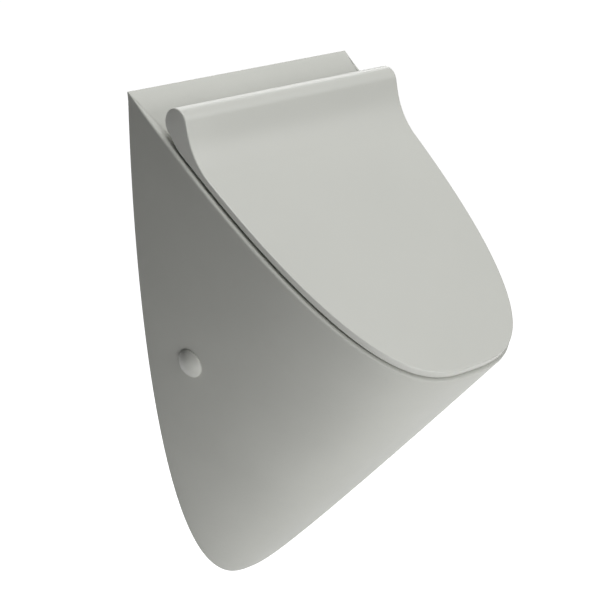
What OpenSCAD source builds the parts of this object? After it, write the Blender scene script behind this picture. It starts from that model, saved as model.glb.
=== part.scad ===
// Wall hung urinal of glazed ceramic with a sloping soft close lid.
// The wall is the plane y = 0 and the bowl stands out towards -y.
// z = 0 is the height of the two wall bolts. All lengths are in millimetres.

/* [Body] */
// Overall width of the body
body_w = 285; // [270:1:300]
// Height of the body's back against the wall
body_h = 530; // [515:1:545]
// Height of the wall bolts above the lowest point of the back
fixing_h = 272; // [262:1:282]
// Slope of the flat top below the horizontal, in degrees
deck_angle = 37.2; // [36:0.1:38.4]
// Length of the sloping top, from the back edge to the front tip
rim_len = 388; // [378:1:398]
// Roundness of the back outline across its width
back_side_power = 2.42; // [2.3:0.01:2.6]
// Roundness of the back outline down its height
back_down_power = 2; // [1.9:0.01:2.2]
// Roundness of the rim outline across its width
rim_side_power = 2.91; // [2.7:0.01:3.1]
// Roundness of the rim outline down its length
rim_down_power = 2.63; // [2.5:0.01:2.8]
// Swell of the underside beyond a straight line from wall to tip
belly = 7; // [4:0.5:9]
// Sharpness of the turn where the swell starts at the wall
belly_start = 0.3; // [0.25:0.01:0.4]
// Thickness of the ceramic wall
wall_t = 12; // [10:0.5:13]
// Thickness of the flat top over the service cavity
deck_t = 14; // [12:0.5:15]
// Rounding of the outer rim edge
rim_round = 2.5; // [1.5:0.5:3.5]

/* [Bowl] */
// Half width of the bowl opening in the sloping top
mouth_half_w = 117; // [110:1:119]
// Where the flat deck ends and the bowl opening begins
mouth_start = 98; // [94:1:104]
// Where the bowl opening is widest
mouth_middle = 132; // [125:1:140]
// Width of the rim in front of the bowl opening
mouth_rim_w = 24; // [20:1:28]
// Rounding of the bowl's edge
mouth_round = 4; // [2:0.5:5]
// Distance of the drain from the wall
drain_y = 85; // [84:0.5:86]
// Radius of the flat floor round the drain
drain_floor_r = 28; // [27.5:0.5:29]
// Thickness of the ceramic under the drain
drain_floor_t = 14; // [12:0.5:15]
// Roundness of the bowl from wall to floor
bowl_power = 1.8; // [1.7:0.05:1.85]
// Depth of the service cavity behind the top of the bowl
cavity_top_y = 66; // [64:0.5:66]
// Depth of the service cavity behind the drain
cavity_low_y = 46; // [44:0.5:46]
// How far the service cavity reaches forward under the drain
cavity_front_y = 165; // [150:1:170]

/* [Water inlet] */
// Distance of the inlet below the top of the back
inlet_drop = 100; // [95:1:110]
// Radius of the threaded tail of the spreader
tail_r = 12; // [11:0.5:12.5]
// Radius of the waterway through the spreader
tail_bore_r = 8; // [7:0.5:9]
// Radius of the spreader's round head in the bowl
spreader_r = 21; // [19:0.5:22]
// Radius of the inlet socket for the pipe out of the wall
inlet_bore_r = 10.5; // [10:0.5:11]
// Thickness of the inlet pipe's wall
inlet_wall_t = 4; // [3.5:0.5:5]

/* [Drain and trap] */
// Radius of the drain hole through the ceramic
drain_r = 20; // [19:0.5:20.5]
// Thickness of the strainer plate
strainer_t = 2; // [1.5:0.5:3]
// Radius of each hole in the strainer
strainer_hole_r = 2.2; // [1.5:0.1:2.4]
// Outer radius of the trap's cup
cup_r = 22; // [21:0.5:22.5]
// Thickness of the trap's plastic walls
trap_wall_t = 2.5; // [2:0.5:3]
// Clearance between the trap's cup and the ceramic in front of it
cup_clear = 3.3; // [2.5:0.1:6]
// Outer radius of the tube that dips into the cup
dip_r = 15.5; // [15:0.5:16]
// Gap between the end of the dip tube and the cup's floor
dip_gap = 8; // [6:1:12]
// Height of the waste outlet above the cup's bottom
outlet_rise = 48; // [46:1:54]
// Outer radius of the cup's outlet
spigot_r = 14; // [13:0.5:14.5]
// Radius of the waste pipe that the outlet seal takes
waste_pipe_r = 20; // [19:0.5:21]

/* [Wall fixing] */
// Distance between the two wall bolts
bolt_spacing = 170; // [160:1:172]
// Radius of the wall bolt holes
bolt_hole_r = 4.5; // [3.5:0.5:5]
// Distance of the side screws from the wall
clamp_y = 58; // [54:1:60]
// Thickness of the steel brackets
bracket_t = 4; // [3:0.5:5]
// Radius of the side screws
clamp_r = 4; // [3:0.5:4]
// Radius of the hole in the side of the ceramic
side_hole_r = 10; // [9.5:0.5:10.5]
// Radius of the side caps
cap_r = 14.3; // [13:0.1:15]
// Height of the side caps' dome
cap_dome = 3.6; // [2.5:0.1:5]

/* [Lid] */
// Gap between the lid's edge and the edge of the rim
lid_inset = 3.2; // [2.5:0.1:5]
// Gap under the lid
lid_gap = 2.6; // [2.2:0.1:3]
// Thickness of the lid's flat part
lid_t = 6.6; // [6:0.1:7.5]
// Where the bulb's centre lies along the sloping top
bulb_u = 63.5; // [62:0.5:65]
// Height of the bulb's centre above the sloping top
bulb_v = 21.5; // [21:0.5:23]
// Radius of the bulb
bulb_r = 14.5; // [14:0.5:15]
// Slope of the bulb's front flank against the flat part, in degrees
flank_angle = 40; // [36:1:44]
// Radius of the hollow that blends the flank into the flat part
flank_blend_r = 70; // [60:1:80]
// Where the bulb's underside meets the lid's underside
bulb_under_u = 80; // [78:0.5:84]
// How far the hinge slots let the lid turn, in degrees
lid_open = 136; // [130:1:140]

/* [Hinges] */
// Distance of each hinge from the middle
hinge_x = 70; // [60:1:76]
// Lean of the hinge arms towards the front, in degrees
arm_lean = 24; // [20:1:26]
// Width of the hinge arms
arm_w = 14; // [12:0.5:16]
// Thickness of the hinge arms
arm_t = 8; // [7:0.5:9]
// Radius of the hinge pins
pin_r = 4; // [3.5:0.5:4.5]
// Radius of the soft close dampers
damper_r = 8; // [7.5:0.5:8.5]
// Length of the soft close dampers
damper_len = 34; // [30:1:36]
// Radius of the hinge feet
foot_r = 12.5; // [12:0.5:13]
// Thickness of the hinge feet
foot_t = 4; // [3:0.5:4.5]
// Radius of the studs that hold the hinges
stud_r = 4; // [3:0.5:4.5]
// Radius of the buffers under the lid
buffer_r = 5; // [4:0.5:6]

/* [Hidden] */

// Colours
ceramic_colour = "#c9cac4";
lid_colour = "#c8c9c3";
plastic_colour = "#e4e4e0";
rubber_colour = "#3a3a3a";
steel_colour = "#b6b8ba";
chrome_colour = "#d5d8da";
brass_colour = "#c2a45a";

// Clearances
run_gap = 0.05;
slide_gap = 0.1;
part_gap = 0.5;
rest_gap = 0.3;
over = 1;

// Number of steps round half of the outline, along the back edge and over the skins
side_steps = 24;
edge_steps = 15;
skin_steps = 10;
round_steps = 3;
bowl_steps = 9;
$fn = 96;

half_w = body_w / 2;
deck_top = body_h - fixing_h;
last = 2 * side_steps;
loop_count = last + 1 + edge_steps;

function level(h) = h - fixing_h;
function spow(v, p) = sign(v) * pow(abs(v), p);
function unit(v) = v / norm(v);
function mix(a, b, t) = a * (1 - t) + b * t;
function bend(a, b, c, t) = mix(mix(a, b, t), mix(b, c, t), t);
function step_angle(i) = 90 * i / side_steps;
function edge_angle(k) = 180 + 180 * k / (edge_steps + 1);

// A point given by its place across, down the slope and above the sloping top
function deck_pt(x, u, v) = [
    x,
    -u * cos(deck_angle) - v * sin(deck_angle),
    deck_top - u * sin(deck_angle) + v * cos(deck_angle)
];

// Outlines of the back and of the rim, from one top corner round to the other
function back_pt(ang, inset, rise, y) = [
    -(half_w - inset) * spow(cos(ang), 2 / back_side_power),
    y,
    deck_top - (body_h - rise) * pow(abs(sin(ang)), 2 / back_down_power)
];
function rim_uv(ang, inset, short) = [
    -(half_w - inset) * spow(cos(ang), 2 / rim_side_power),
    (rim_len - short) * pow(abs(sin(ang)), 2 / rim_down_power)
];
function rim_pt(ang, inset, short) = let (p = rim_uv(ang, inset, short)) deck_pt(p.x, p.y, 0);
function rim_inward(ang) =
    let (d = unit(rim_uv(ang + 0.5, 0, 0) - rim_uv(ang - 0.5, 0, 0))) [d.y, -d.x];

// The outer skin runs straight from the back outline to the rim outline, with a swell underneath
tip_run = rim_pt(90, 0, 0) - back_pt(90, 0, 0, 0);
belly_dir = unit([0, -tip_run.z, tip_run.y]);
swell_top = belly_start / (1 + belly_start);
function swell(t) =
    t <= 0 ? 0 : pow(t / swell_top, belly_start) * (1 - t) / (1 - swell_top);
function skin_pt(ang, t) =
    mix(back_pt(ang, 0, 0, 0), rim_pt(ang, 0, 0), t) + belly * swell(t) * pow(sin(ang), 2) * belly_dir;
function skin_t(j) = pow(j / skin_steps, 2.2);
function skin_end(ang) = 1 - rim_round / norm(rim_pt(ang, 0, 0) - back_pt(ang, 0, 0, 0));
function rim_round_pt(ang, t) =
    let (edge = rim_pt(ang, 0, 0), inward = rim_inward(ang), flat = rim_uv(ang, 0, 0))
    bend(
        skin_pt(ang, skin_end(ang)),
        edge,
        deck_pt(flat.x + inward.x * rim_round, flat.y + inward.y * rim_round, 0),
        t
    );

// Heights of the trap and the drain above the lowest point of the back, in whole millimetres.
// The cup sits as low as the front of the body lets it, and the drain is above the trap.
cavity_rise = wall_t * 1.35;
front_slope = tip_run.z / -tip_run.y;
cup_bottom_h = round(
    cavity_rise + (drain_y + cup_r + cup_clear) * front_slope + belly / belly_dir.z
);
outlet_h = cup_bottom_h + outlet_rise;
nut_clear = 2;
nut_h = 15;
nut_lift = 2;
flange_t = 4;
gasket_t = 3;
drain_h = outlet_h + spigot_r + nut_clear + nut_h + nut_lift + flange_t + gasket_t + drain_floor_t;

// The bowl's mouth is one closed loop, and the bowl narrows from it to the round drain floor
mouth_front = rim_len - mouth_rim_w - mouth_middle;
mouth_back = mouth_middle - mouth_start;
mouth_side_power = 2.9;
mouth_front_power = 2.2;
mouth_back_power = 4;
function loop_angle(i) = i <= last ? step_angle(i) : edge_angle(i - last);
function mouth_uv(ang, grow) = let (front = sin(ang) >= 0) [
    -(mouth_half_w + grow) * spow(cos(ang), 2 / (front ? mouth_side_power : mouth_back_power)),
    front
        ? mouth_middle + (mouth_front + grow) * pow(sin(ang), 2 / mouth_front_power)
        : mouth_middle - (mouth_back + grow) * pow(-sin(ang), 2 / mouth_back_power)
];
function mouth_pt(ang, grow) = let (p = mouth_uv(ang, grow)) deck_pt(p.x, p.y, 0);
function drain_pt(ang) = [
    -drain_floor_r * cos(ang),
    -drain_y - drain_floor_r * sin(ang),
    level(drain_h)
];
function bowl_pt(ang, turn) =
    let (a = mouth_pt(ang, 0), b = drain_pt(ang))
    let (out = pow(sin(turn), 2 / bowl_power), up = 1 - pow(cos(turn), 2 / bowl_power))
    [mix(b.x, a.x, out), mix(b.y, a.y, out), mix(b.z, a.z, up)];
function mouth_round_pt(ang, t) =
    let (a = mouth_pt(ang, 0))
    bend(mouth_pt(ang, mouth_round), a, a - [0, 0, mouth_round], t);
function bowl_turn(k) = 82 * (1 - k / bowl_steps);

// Points and faces of the ceramic's outside and bowl
left_corner = 0;
right_corner = 1;
outer_rings = skin_steps + round_steps + 1;
inner_rings = 1 + round_steps + bowl_steps + 1;
ring_size = last - 1;
edge_start = 2 + outer_rings * ring_size;
loop_start = edge_start + edge_steps;
function ring_at(j, i) =
    i == 0 ? left_corner : i == last ? right_corner : 2 + j * ring_size + i - 1;
function top_at(i) = i <= last ? ring_at(outer_rings - 1, i) : edge_start + i - last - 1;
function back_at(i) = i <= last ? ring_at(0, i) : edge_start + i - last - 1;
function loop_at(j, i) = loop_start + j * loop_count + i % loop_count;

body_points = concat(
    [back_pt(0, 0, 0, 0), back_pt(180, 0, 0, 0)],
    [
        for (j = [0:skin_steps], i = [1:last - 1])
            let (ang = step_angle(i)) skin_pt(ang, skin_t(j) * skin_end(ang))
    ],
    [for (j = [1:round_steps], i = [1:last - 1]) rim_round_pt(step_angle(i), j / round_steps)],
    [for (k = [1:edge_steps]) [-half_w * cos(edge_angle(k)), 0, deck_top]],
    [
        for (j = [0:round_steps], i = [0:loop_count - 1])
            mouth_round_pt(loop_angle(i), j / round_steps)
    ],
    [
        for (j = [0:bowl_steps], i = [0:loop_count - 1])
            bowl_pt(loop_angle(i), bowl_turn(j))
    ]
);
body_faces = concat(
    [
        for (j = [0:outer_rings - 2], i = [1:last - 2])
            each [
                [ring_at(j, i), ring_at(j + 1, i), ring_at(j + 1, i + 1)],
                [ring_at(j, i), ring_at(j + 1, i + 1), ring_at(j, i + 1)]
            ]
    ],
    [for (j = [0:outer_rings - 2]) [left_corner, ring_at(j + 1, 1), ring_at(j, 1)]],
    [for (j = [0:outer_rings - 2]) [right_corner, ring_at(j, last - 1), ring_at(j + 1, last - 1)]],
    [
        for (i = [0:loop_count - 1])
            let (next = (i + 1) % loop_count)
            each [
                [top_at(i), loop_at(0, i), loop_at(0, next)],
                [top_at(i), loop_at(0, next), top_at(next)]
            ]
    ],
    [
        for (j = [0:inner_rings - 2], i = [0:loop_count - 1])
            each [
                [loop_at(j, i), loop_at(j + 1, i), loop_at(j + 1, i + 1)],
                [loop_at(j, i), loop_at(j + 1, i + 1), loop_at(j, i + 1)]
            ]
    ],
    [[for (i = [loop_count - 1:-1:0]) loop_at(inner_rings - 1, i)]],
    [[for (i = [0:loop_count - 1]) back_at((i + side_steps) % loop_count)]]
);

// The service cavity follows the outer skin one wall inside it
cavity_steps = 5;
function cavity_pt(ang, t) =
    mix(
        back_pt(ang, wall_t, cavity_rise - over, over),
        rim_pt(ang, wall_t, wall_t),
        t
    ) + belly * swell(t) * pow(sin(ang), 2) * belly_dir;
function cavity_at(j, i) = j * (last + 1) + i;
cavity_points = [
    for (j = [0:cavity_steps], i = [0:last]) cavity_pt(step_angle(i), pow(j / cavity_steps, 1.6))
];
cavity_faces = concat(
    [
        for (j = [0:cavity_steps - 1], i = [0:last - 1])
            each [
                [cavity_at(j, i), cavity_at(j + 1, i), cavity_at(j + 1, i + 1)],
                [cavity_at(j, i), cavity_at(j + 1, i + 1), cavity_at(j, i + 1)]
            ]
    ],
    [[for (i = [0:last]) cavity_at(0, i)]],
    [[for (i = [last:-1:0]) cavity_at(cavity_steps, i)]],
    [
        for (j = [0:cavity_steps - 1])
            each [
                [cavity_at(j + 1, 0), cavity_at(j, 0), cavity_at(j, last)],
                [cavity_at(j + 1, 0), cavity_at(j, last), cavity_at(j + 1, last)]
            ]
    ]
);
cavity_slope = atan((cavity_top_y - cavity_low_y) / (body_h - drain_h));
cavity_roof_h = drain_h - drain_floor_t;

// Place and direction of the side screws, found on the outer skin
function skin_share(ang, y) = y / (rim_len * pow(sin(ang), 2 / rim_down_power) * cos(deck_angle));
function side_angle(y, z, low, high, turns) =
    let (middle = (low + high) / 2)
    turns == 0
        ? middle
        : skin_pt(middle, skin_share(middle, y)).z > z
            ? side_angle(y, z, middle, high, turns - 1)
            : side_angle(y, z, low, middle, turns - 1);
clamp_angle_low = 15;
clamp_angle_high = 60;
halvings = 24;
clamp_angle = side_angle(clamp_y, 0, clamp_angle_low, clamp_angle_high, halvings);
clamp_share = skin_share(clamp_angle, clamp_y);
clamp_pt = skin_pt(clamp_angle, clamp_share);
clamp_normal = unit(cross(
    skin_pt(clamp_angle + 1, clamp_share) - skin_pt(clamp_angle - 1, clamp_share),
    skin_pt(clamp_angle, clamp_share + 0.02) - skin_pt(clamp_angle, clamp_share - 0.02)
));
clamp_side = abs(clamp_pt.x);

// Sizes of the wall brackets
tab_back = 8;
tab_out = clamp_side - wall_t - tab_back;
tab_in = tab_out - bracket_t;
tab_beyond = 12;
tab_reach = clamp_y + tab_beyond;
tab_h = 30;
boss_r = clamp_r + 4;
boss_len = 8;
plate_h = 48;
plate_edge = 19;
plate_in = bolt_spacing / 2 - plate_edge;
screw_head_r = clamp_r + 3;
screw_head_t = 4.5;
screw_depth = 5;

// Heights of the drain parts, from the ceramic down to the cup
drain_recess = strainer_t + 1;
collar_t = 3;
strainer_screw_r = 3;
strainer_inner_ring = 7.5;
strainer_outer_ring = 14;
screw_reach = 12;
web_r = 5;
web_t = 2;
web_h = 5;
web_top = 1;
web_bottom = 10;
gasket_top = level(cavity_roof_h);
flange_top = gasket_top - gasket_t;
lip_top = flange_top - flange_t - nut_lift;
nut_lip_t = 2.5;
collar_top = lip_top - nut_lip_t;
cup_top = collar_top - collar_t;
nut_bottom = lip_top - nut_h;
cup_bottom = level(cup_bottom_h);
dip_bottom = cup_bottom + trap_wall_t + dip_gap;
flange_r = cup_r + 6;
spigot_len = 22;
outlet_z = level(outlet_h);
spigot_end = drain_y - cup_r - spigot_len;
adapter_r = waste_pipe_r + 5;
adapter_end = 36;
adapter_lap = 15;
adapter_step_t = 2.5;
seal_t = 2.5;
seal_lip_t = 2;

// Places along the water inlet, as distances from the wall
inlet_z = deck_top - inlet_drop;
spreader_seat = 76;
spreader_back = 62;
spreader_nut_t = 8;
tail_end = 40;
pipe_lap = 8;
pipe_r = inlet_bore_r + inlet_wall_t;
inlet_seal_w = 7;
inlet_seal_t = 8;
spreader_gasket_t = 1.5;
spreader_flange_t = 2.5;
spreader_head = 10;
spreader_slot = 3;

// Shape of the lid's section
lid_top = lid_gap + lid_t;
flank_len = (bulb_v + bulb_r * cos(flank_angle) - lid_top - flank_blend_r * (1 - cos(flank_angle)))
    / sin(flank_angle);
blend_u = bulb_u + bulb_r * sin(flank_angle) + flank_len * cos(flank_angle)
    + flank_blend_r * sin(flank_angle);
under_run = [bulb_under_u - bulb_u, lid_gap - bulb_v];
under_angle = atan2(under_run.y, under_run.x) - acos(bulb_r / norm(under_run));
bulb_steps = 48;
blend_steps = 10;

// Hinge sizes
arm_angle = 270 + arm_lean;
foot_u = bulb_u + bulb_v * tan(arm_lean);
foot_gasket_t = 0.8;
barrel_r = pin_r + 5;
slot_w = arm_w + 2 * part_gap;
slot_in = hinge_x - slot_w / 2;
slot_out = hinge_x + slot_w / 2;
bush_len = 11;
bush_r = pin_r + 2.4;
pin_depth = 20;
damper_in = slot_out + slide_gap;
damper_out = damper_in + damper_len;
cover_angle = 225;
cover_half = damper_r + 0.4;
cover_tongue = 11;
cover_screw_r = 1.5;
cover_head_r = 3;
grommet_t = 3;
grommet_lip = 3.5;
grommet_sleeve = 6;
washer_t = 1.5;
washer_lip = 2.5;
nut_t = 7;
stud_tail = 18;
foot_hole_r = stud_r + 2.5;
foot_space_r = foot_r + 1.2;
foot_space_h = foot_gasket_t + foot_t + part_gap;
buffer_angles = [24, 62];
buffer_inset = 11;
buffer_stem_r = 2.5;
buffer_stem = 3;

// Carries children to the sloping top, with y up the slope and z square to it
module on_deck() {
    translate([0, 0, deck_top]) rotate([deck_angle, 0, 0]) children();
}

// Extrudes a section drawn as distance up the slope and height, along x from one place to another
module along_x(from, to) {
    translate([from, 0, 0]) rotate([90, 0, 90]) linear_extrude(to - from) children();
}

// A straight tube or rod along y, from one distance from the wall to another
module rod_y(r, from, to) {
    translate([0, -from, 0]) rotate([90, 0, 0]) cylinder(r = r, h = to - from);
}

module tube_y(outer, inner, from, to) {
    difference() {
        rod_y(outer, from, to);
        rod_y(inner, from - over, to + over);
    }
}

// A ring that stands on a height
module ring_z(outer, inner, bottom, top) {
    translate([0, 0, bottom]) difference() {
        cylinder(r = outer, h = top - bottom);
        translate([0, 0, -over]) cylinder(r = inner, h = top - bottom + 2 * over);
    }
}

module at_drain() {
    translate([0, -drain_y, 0]) children();
}

module at_inlet() {
    translate([0, 0, inlet_z]) children();
}

module at_outlet() {
    translate([0, 0, outlet_z]) children();
}

// Puts one copy on each side
module both_sides() {
    children();
    mirror([1, 0, 0]) children();
}

module on_side(side) {
    if (side > 0) children();
    else mirror([1, 0, 0]) children();
}

// A rod along x at the side screws' height
module rod_clamp(r, from, to) {
    translate([from, clamp_pt.y, clamp_pt.z]) rotate([0, 90, 0]) cylinder(r = r, h = to - from);
}

// The hollow behind and below the bowl
module service_cavity() {
    intersection() {
        polyhedron(points = cavity_points, faces = cavity_faces, convexity = 4);
        on_deck() translate([-body_w, -rim_len, -2 * body_h - deck_t]) {
            cube([2 * body_w, 2 * rim_len, 2 * body_h]);
        }
        union() {
            translate([-body_w, -cavity_low_y, level(drain_h)]) rotate([cavity_slope, 0, 0]) {
                translate([0, 0, -2 * body_h]) cube([2 * body_w, body_h, 4 * body_h]);
            }
            translate([-body_w, -cavity_front_y, -2 * body_h]) {
                cube([2 * body_w, body_h, 2 * body_h + level(cavity_roof_h)]);
            }
            both_sides() translate([tab_in - boss_len - 2, -tab_reach - 2, -tab_h / 2 - 3]) {
                cube([body_w, tab_reach + 2, tab_h + 6]);
            }
        }
    }
}

// Glazed ceramic body with its bowl, rim, flat deck and open back
module ceramic_body() {
    color(ceramic_colour) difference() {
        polyhedron(points = body_points, faces = body_faces, convexity = 8);
        service_cavity();
        both_sides() on_deck() translate([hinge_x, -foot_u, -2 * deck_t]) {
            cylinder(r = foot_hole_r, h = 3 * deck_t);
        }
        both_sides() rod_clamp(side_hole_r, clamp_side - 3 * wall_t, clamp_side + wall_t);
        at_inlet() rod_y(tail_r + part_gap, spreader_back - 2 * over, spreader_seat + over);
        at_inlet() rod_y(spreader_r + part_gap, spreader_seat, spreader_seat + wall_t);
        at_inlet() rod_y(tail_r + 8, spreader_back - wall_t, spreader_back);
        at_drain() translate([0, 0, gasket_top - over]) {
            cylinder(r = drain_r, h = drain_floor_t + 2 * over);
        }
        at_drain() translate([0, 0, level(drain_h) - drain_recess]) {
            cylinder(r = drain_floor_r - 1, h = drain_recess + over);
        }
    }
}

// Water inlet: spreader in the bowl, held by a nut and fed by a pipe from the wall
module flush_spreader() {
    flange_back = spreader_seat + spreader_gasket_t;
    flange_front = flange_back + spreader_flange_t;
    color(chrome_colour) at_inlet() difference() {
        union() {
            rod_y(tail_r, tail_end, flange_front - spreader_flange_t / 2);
            rod_y(spreader_r, flange_back, flange_front);
            rod_y(spreader_r - 4, flange_front, flange_front + spreader_head);
        }
        rod_y(tail_bore_r, tail_end - over, spreader_seat + spreader_head);
        for (turn = [-60:30:60]) {
            rotate([0, turn, 0]) {
                translate([-spreader_slot / 2, -spreader_seat - spreader_head, -spreader_r]) {
                    cube([spreader_slot, spreader_slot, spreader_r]);
                }
            }
        }
    }
}

module spreader_gasket() {
    color(rubber_colour) at_inlet() {
        tube_y(spreader_r - 1, tail_r + slide_gap, spreader_seat, spreader_seat + spreader_gasket_t);
    }
}

module spreader_nut() {
    color(brass_colour) at_inlet() translate([0, -spreader_back + spreader_nut_t, 0]) {
        rotate([90, 0, 0]) difference() {
            cylinder(r = tail_r + 6, h = spreader_nut_t, $fn = 6);
            translate([0, 0, -over]) {
                cylinder(r = tail_r + run_gap, h = spreader_nut_t + 2 * over);
            }
        }
    }
}

module inlet_pipe() {
    color(brass_colour) at_inlet() {
        tube_y(pipe_r, inlet_bore_r, part_gap, tail_end - over);
        tube_y(pipe_r, tail_bore_r, tail_end - over, tail_end);
        tube_y(pipe_r, tail_r + slide_gap, tail_end, tail_end + pipe_lap);
    }
}

module inlet_seal() {
    color(rubber_colour) at_inlet() tube_y(pipe_r + inlet_seal_w, pipe_r + slide_gap, 0, inlet_seal_t);
}

// Drain: a strainer plate in the bowl, screwed down through the ceramic to the trap
module drain_strainer() {
    color(chrome_colour) at_drain() difference() {
        union() {
            translate([0, 0, level(drain_h) - drain_recess + slide_gap]) {
                cylinder(r = drain_floor_r - 1 - part_gap, h = strainer_t);
            }
            ring_z(
                drain_r - part_gap,
                drain_r - part_gap - 1.5,
                level(drain_h) - drain_recess - 6,
                level(drain_h) - drain_recess + slide_gap
            );
        }
        translate([0, 0, level(drain_h) - drain_recess]) {
            cylinder(r = strainer_screw_r + run_gap, h = strainer_t + over);
            for (turn = [0:60:300]) {
                rotate([0, 0, turn]) translate([strainer_inner_ring, 0, 0]) {
                    cylinder(r = strainer_hole_r, h = strainer_t + over, $fn = 32);
                }
            }
            for (turn = [0:30:330]) {
                rotate([0, 0, turn + 15]) translate([strainer_outer_ring, 0, 0]) {
                    cylinder(r = strainer_hole_r, h = strainer_t + over, $fn = 32);
                }
            }
        }
    }
}

module strainer_screw() {
    plate_top = level(drain_h) - drain_recess + slide_gap + strainer_t;
    color(steel_colour) at_drain() {
        translate([0, 0, plate_top]) intersection() {
            cylinder(r = 5.5, h = 2.5);
            translate([0, 0, -5.3]) sphere(r = 7.6);
        }
        translate([0, 0, flange_top - screw_reach]) {
            cylinder(r = strainer_screw_r, h = plate_top - flange_top + screw_reach);
        }
    }
}

module outlet_gasket() {
    color(rubber_colour) at_drain() ring_z(flange_r, drain_r + 0.5, flange_top, gasket_top);
}

module trap_inlet() {
    bore = dip_r - trap_wall_t;
    color(plastic_colour) at_drain() {
        ring_z(flange_r, bore, flange_top - flange_t, flange_top);
        ring_z(dip_r, bore, dip_bottom, flange_top - flange_t);
        ring_z(cup_r - slide_gap, dip_r, cup_top, collar_top);
        ring_z(web_r, strainer_screw_r + run_gap, flange_top - web_bottom, flange_top - web_top);
        for (turn = [0:90:270]) {
            rotate([0, 0, turn]) translate([web_r - 0.4, -web_t / 2, flange_top - web_bottom + web_t]) {
                cube([bore - web_r + 1, web_t, web_h]);
            }
        }
    }
}

module trap_nut() {
    color(plastic_colour) at_drain() {
        ring_z(cup_r + 5, cup_r + slide_gap, nut_bottom, collar_top);
        ring_z(cup_r + 5, dip_r + part_gap, collar_top, lip_top);
        for (turn = [0:30:330]) {
            rotate([0, 0, turn]) translate([cup_r + 4.5, -1.5, nut_bottom]) cube([1.5, 3, nut_h]);
        }
    }
}

module trap_cup() {
    inside = cup_r - trap_wall_t;
    color(plastic_colour) difference() {
        union() {
            at_drain() translate([0, 0, cup_bottom]) cylinder(r = cup_r, h = cup_top - cup_bottom);
            at_outlet() rod_y(spigot_r, spigot_end, drain_y);
        }
        at_drain() translate([0, 0, cup_bottom + trap_wall_t]) {
            cylinder(r = inside, h = cup_top - cup_bottom);
        }
        at_outlet() rod_y(spigot_r - trap_wall_t, spigot_end - over, drain_y);
    }
}

module outlet_adapter() {
    color(plastic_colour) at_outlet() {
        tube_y(spigot_r + 3, spigot_r + slide_gap, adapter_end, spigot_end + adapter_lap);
        tube_y(adapter_r, spigot_r, adapter_end - adapter_step_t, adapter_end);
        tube_y(adapter_r, waste_pipe_r + seal_t, seal_lip_t, adapter_end - adapter_step_t);
    }
}

module outlet_seal() {
    color(rubber_colour) at_outlet() {
        tube_y(waste_pipe_r + seal_t - slide_gap, waste_pipe_r, seal_lip_t, adapter_end - 6);
        tube_y(adapter_r + 3, waste_pipe_r, 0, seal_lip_t);
    }
}

// Wall fixing: a steel bracket on each side takes a screw through the side of the ceramic
module wall_bracket(side) {
    color(steel_colour) on_side(side) difference() {
        union() {
            translate([plate_in, -bracket_t, -plate_h / 2]) {
                cube([tab_out - plate_in, bracket_t, plate_h]);
            }
            translate([tab_in, -tab_reach, -tab_h / 2]) cube([bracket_t, tab_reach, tab_h]);
            rod_clamp(boss_r, tab_in - boss_len, tab_in + over);
        }
        rod_clamp(clamp_r + run_gap, tab_in - boss_len - over, tab_out + over);
        translate([bolt_spacing / 2, 0, 0]) rod_y(bolt_hole_r, -over, bracket_t + over);
    }
}

module clamp_screws() {
    head_out = clamp_side - screw_depth;
    head_in = head_out - screw_head_t;
    socket = 2.5;
    color(steel_colour) both_sides() difference() {
        union() {
            rod_clamp(screw_head_r, head_in, head_out);
            rod_clamp(clamp_r, tab_in - boss_len - 2, head_in + over);
        }
        translate([head_out - socket, clamp_pt.y, clamp_pt.z]) rotate([0, 90, 0]) {
            cylinder(r = clamp_r - 1, h = socket + over, $fn = 6);
        }
    }
}

module clamp_bushes() {
    head_in = clamp_side - screw_depth - screw_head_t;
    color(plastic_colour) both_sides() difference() {
        rod_clamp(side_hole_r - slide_gap, tab_out, head_in + screw_head_t);
        rod_clamp(clamp_r + slide_gap, tab_out - over, clamp_side);
        rod_clamp(screw_head_r + slide_gap, head_in, clamp_side);
    }
}

module side_cap(side) {
    lean = acos(-clamp_normal.x);
    heading = atan2(-clamp_normal.z, -clamp_normal.y);
    sphere_r = (cap_r * cap_r + cap_dome * cap_dome) / (2 * cap_dome);
    stem_r = side_hole_r - 1.4;
    stem_len = screw_depth - 2;
    color(ceramic_colour) on_side(-side) {
        translate([clamp_pt.x, clamp_pt.y, clamp_pt.z]) rotate([heading, 0, 0]) rotate([0, 0, lean]) {
            rotate([0, -90, 0]) translate([0, 0, rest_gap]) {
                intersection() {
                    cylinder(r = cap_r, h = cap_dome);
                    translate([0, 0, cap_dome - sphere_r]) sphere(r = sphere_r);
                }
                ring_z(stem_r, stem_r - 1.5, -stem_len, slide_gap);
            }
        }
    }
}

// Hinges: an arm on the deck carries a pin that runs in the lid's bulb
module hinge_post(side) {
    reach = bulb_v / cos(arm_lean) - foot_gasket_t;
    color(chrome_colour) on_side(side) on_deck() difference() {
        union() {
            translate([hinge_x, -foot_u, foot_gasket_t]) cylinder(r = foot_r, h = foot_t);
            along_x(hinge_x - arm_w / 2, hinge_x + arm_w / 2) {
                translate([-bulb_u, bulb_v]) {
                    circle(r = barrel_r);
                    rotate(180 - arm_angle) translate([0, -arm_t / 2]) square([reach - 1.5, arm_t]);
                }
            }
        }
        along_x(hinge_x - arm_w, hinge_x + arm_w) {
            translate([-bulb_u, bulb_v]) circle(r = pin_r + run_gap);
        }
        translate([-body_w, -rim_len, foot_gasket_t - bulb_r]) cube([2 * body_w, rim_len, bulb_r]);
    }
}

module hinge_pins() {
    color(steel_colour) both_sides() on_deck() {
        along_x(slot_in - bush_len + part_gap, slot_out + pin_depth) {
            translate([-bulb_u, bulb_v]) circle(r = pin_r);
        }
    }
}

module at_feet() {
    both_sides() on_deck() translate([hinge_x, -foot_u, 0]) children();
}

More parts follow.
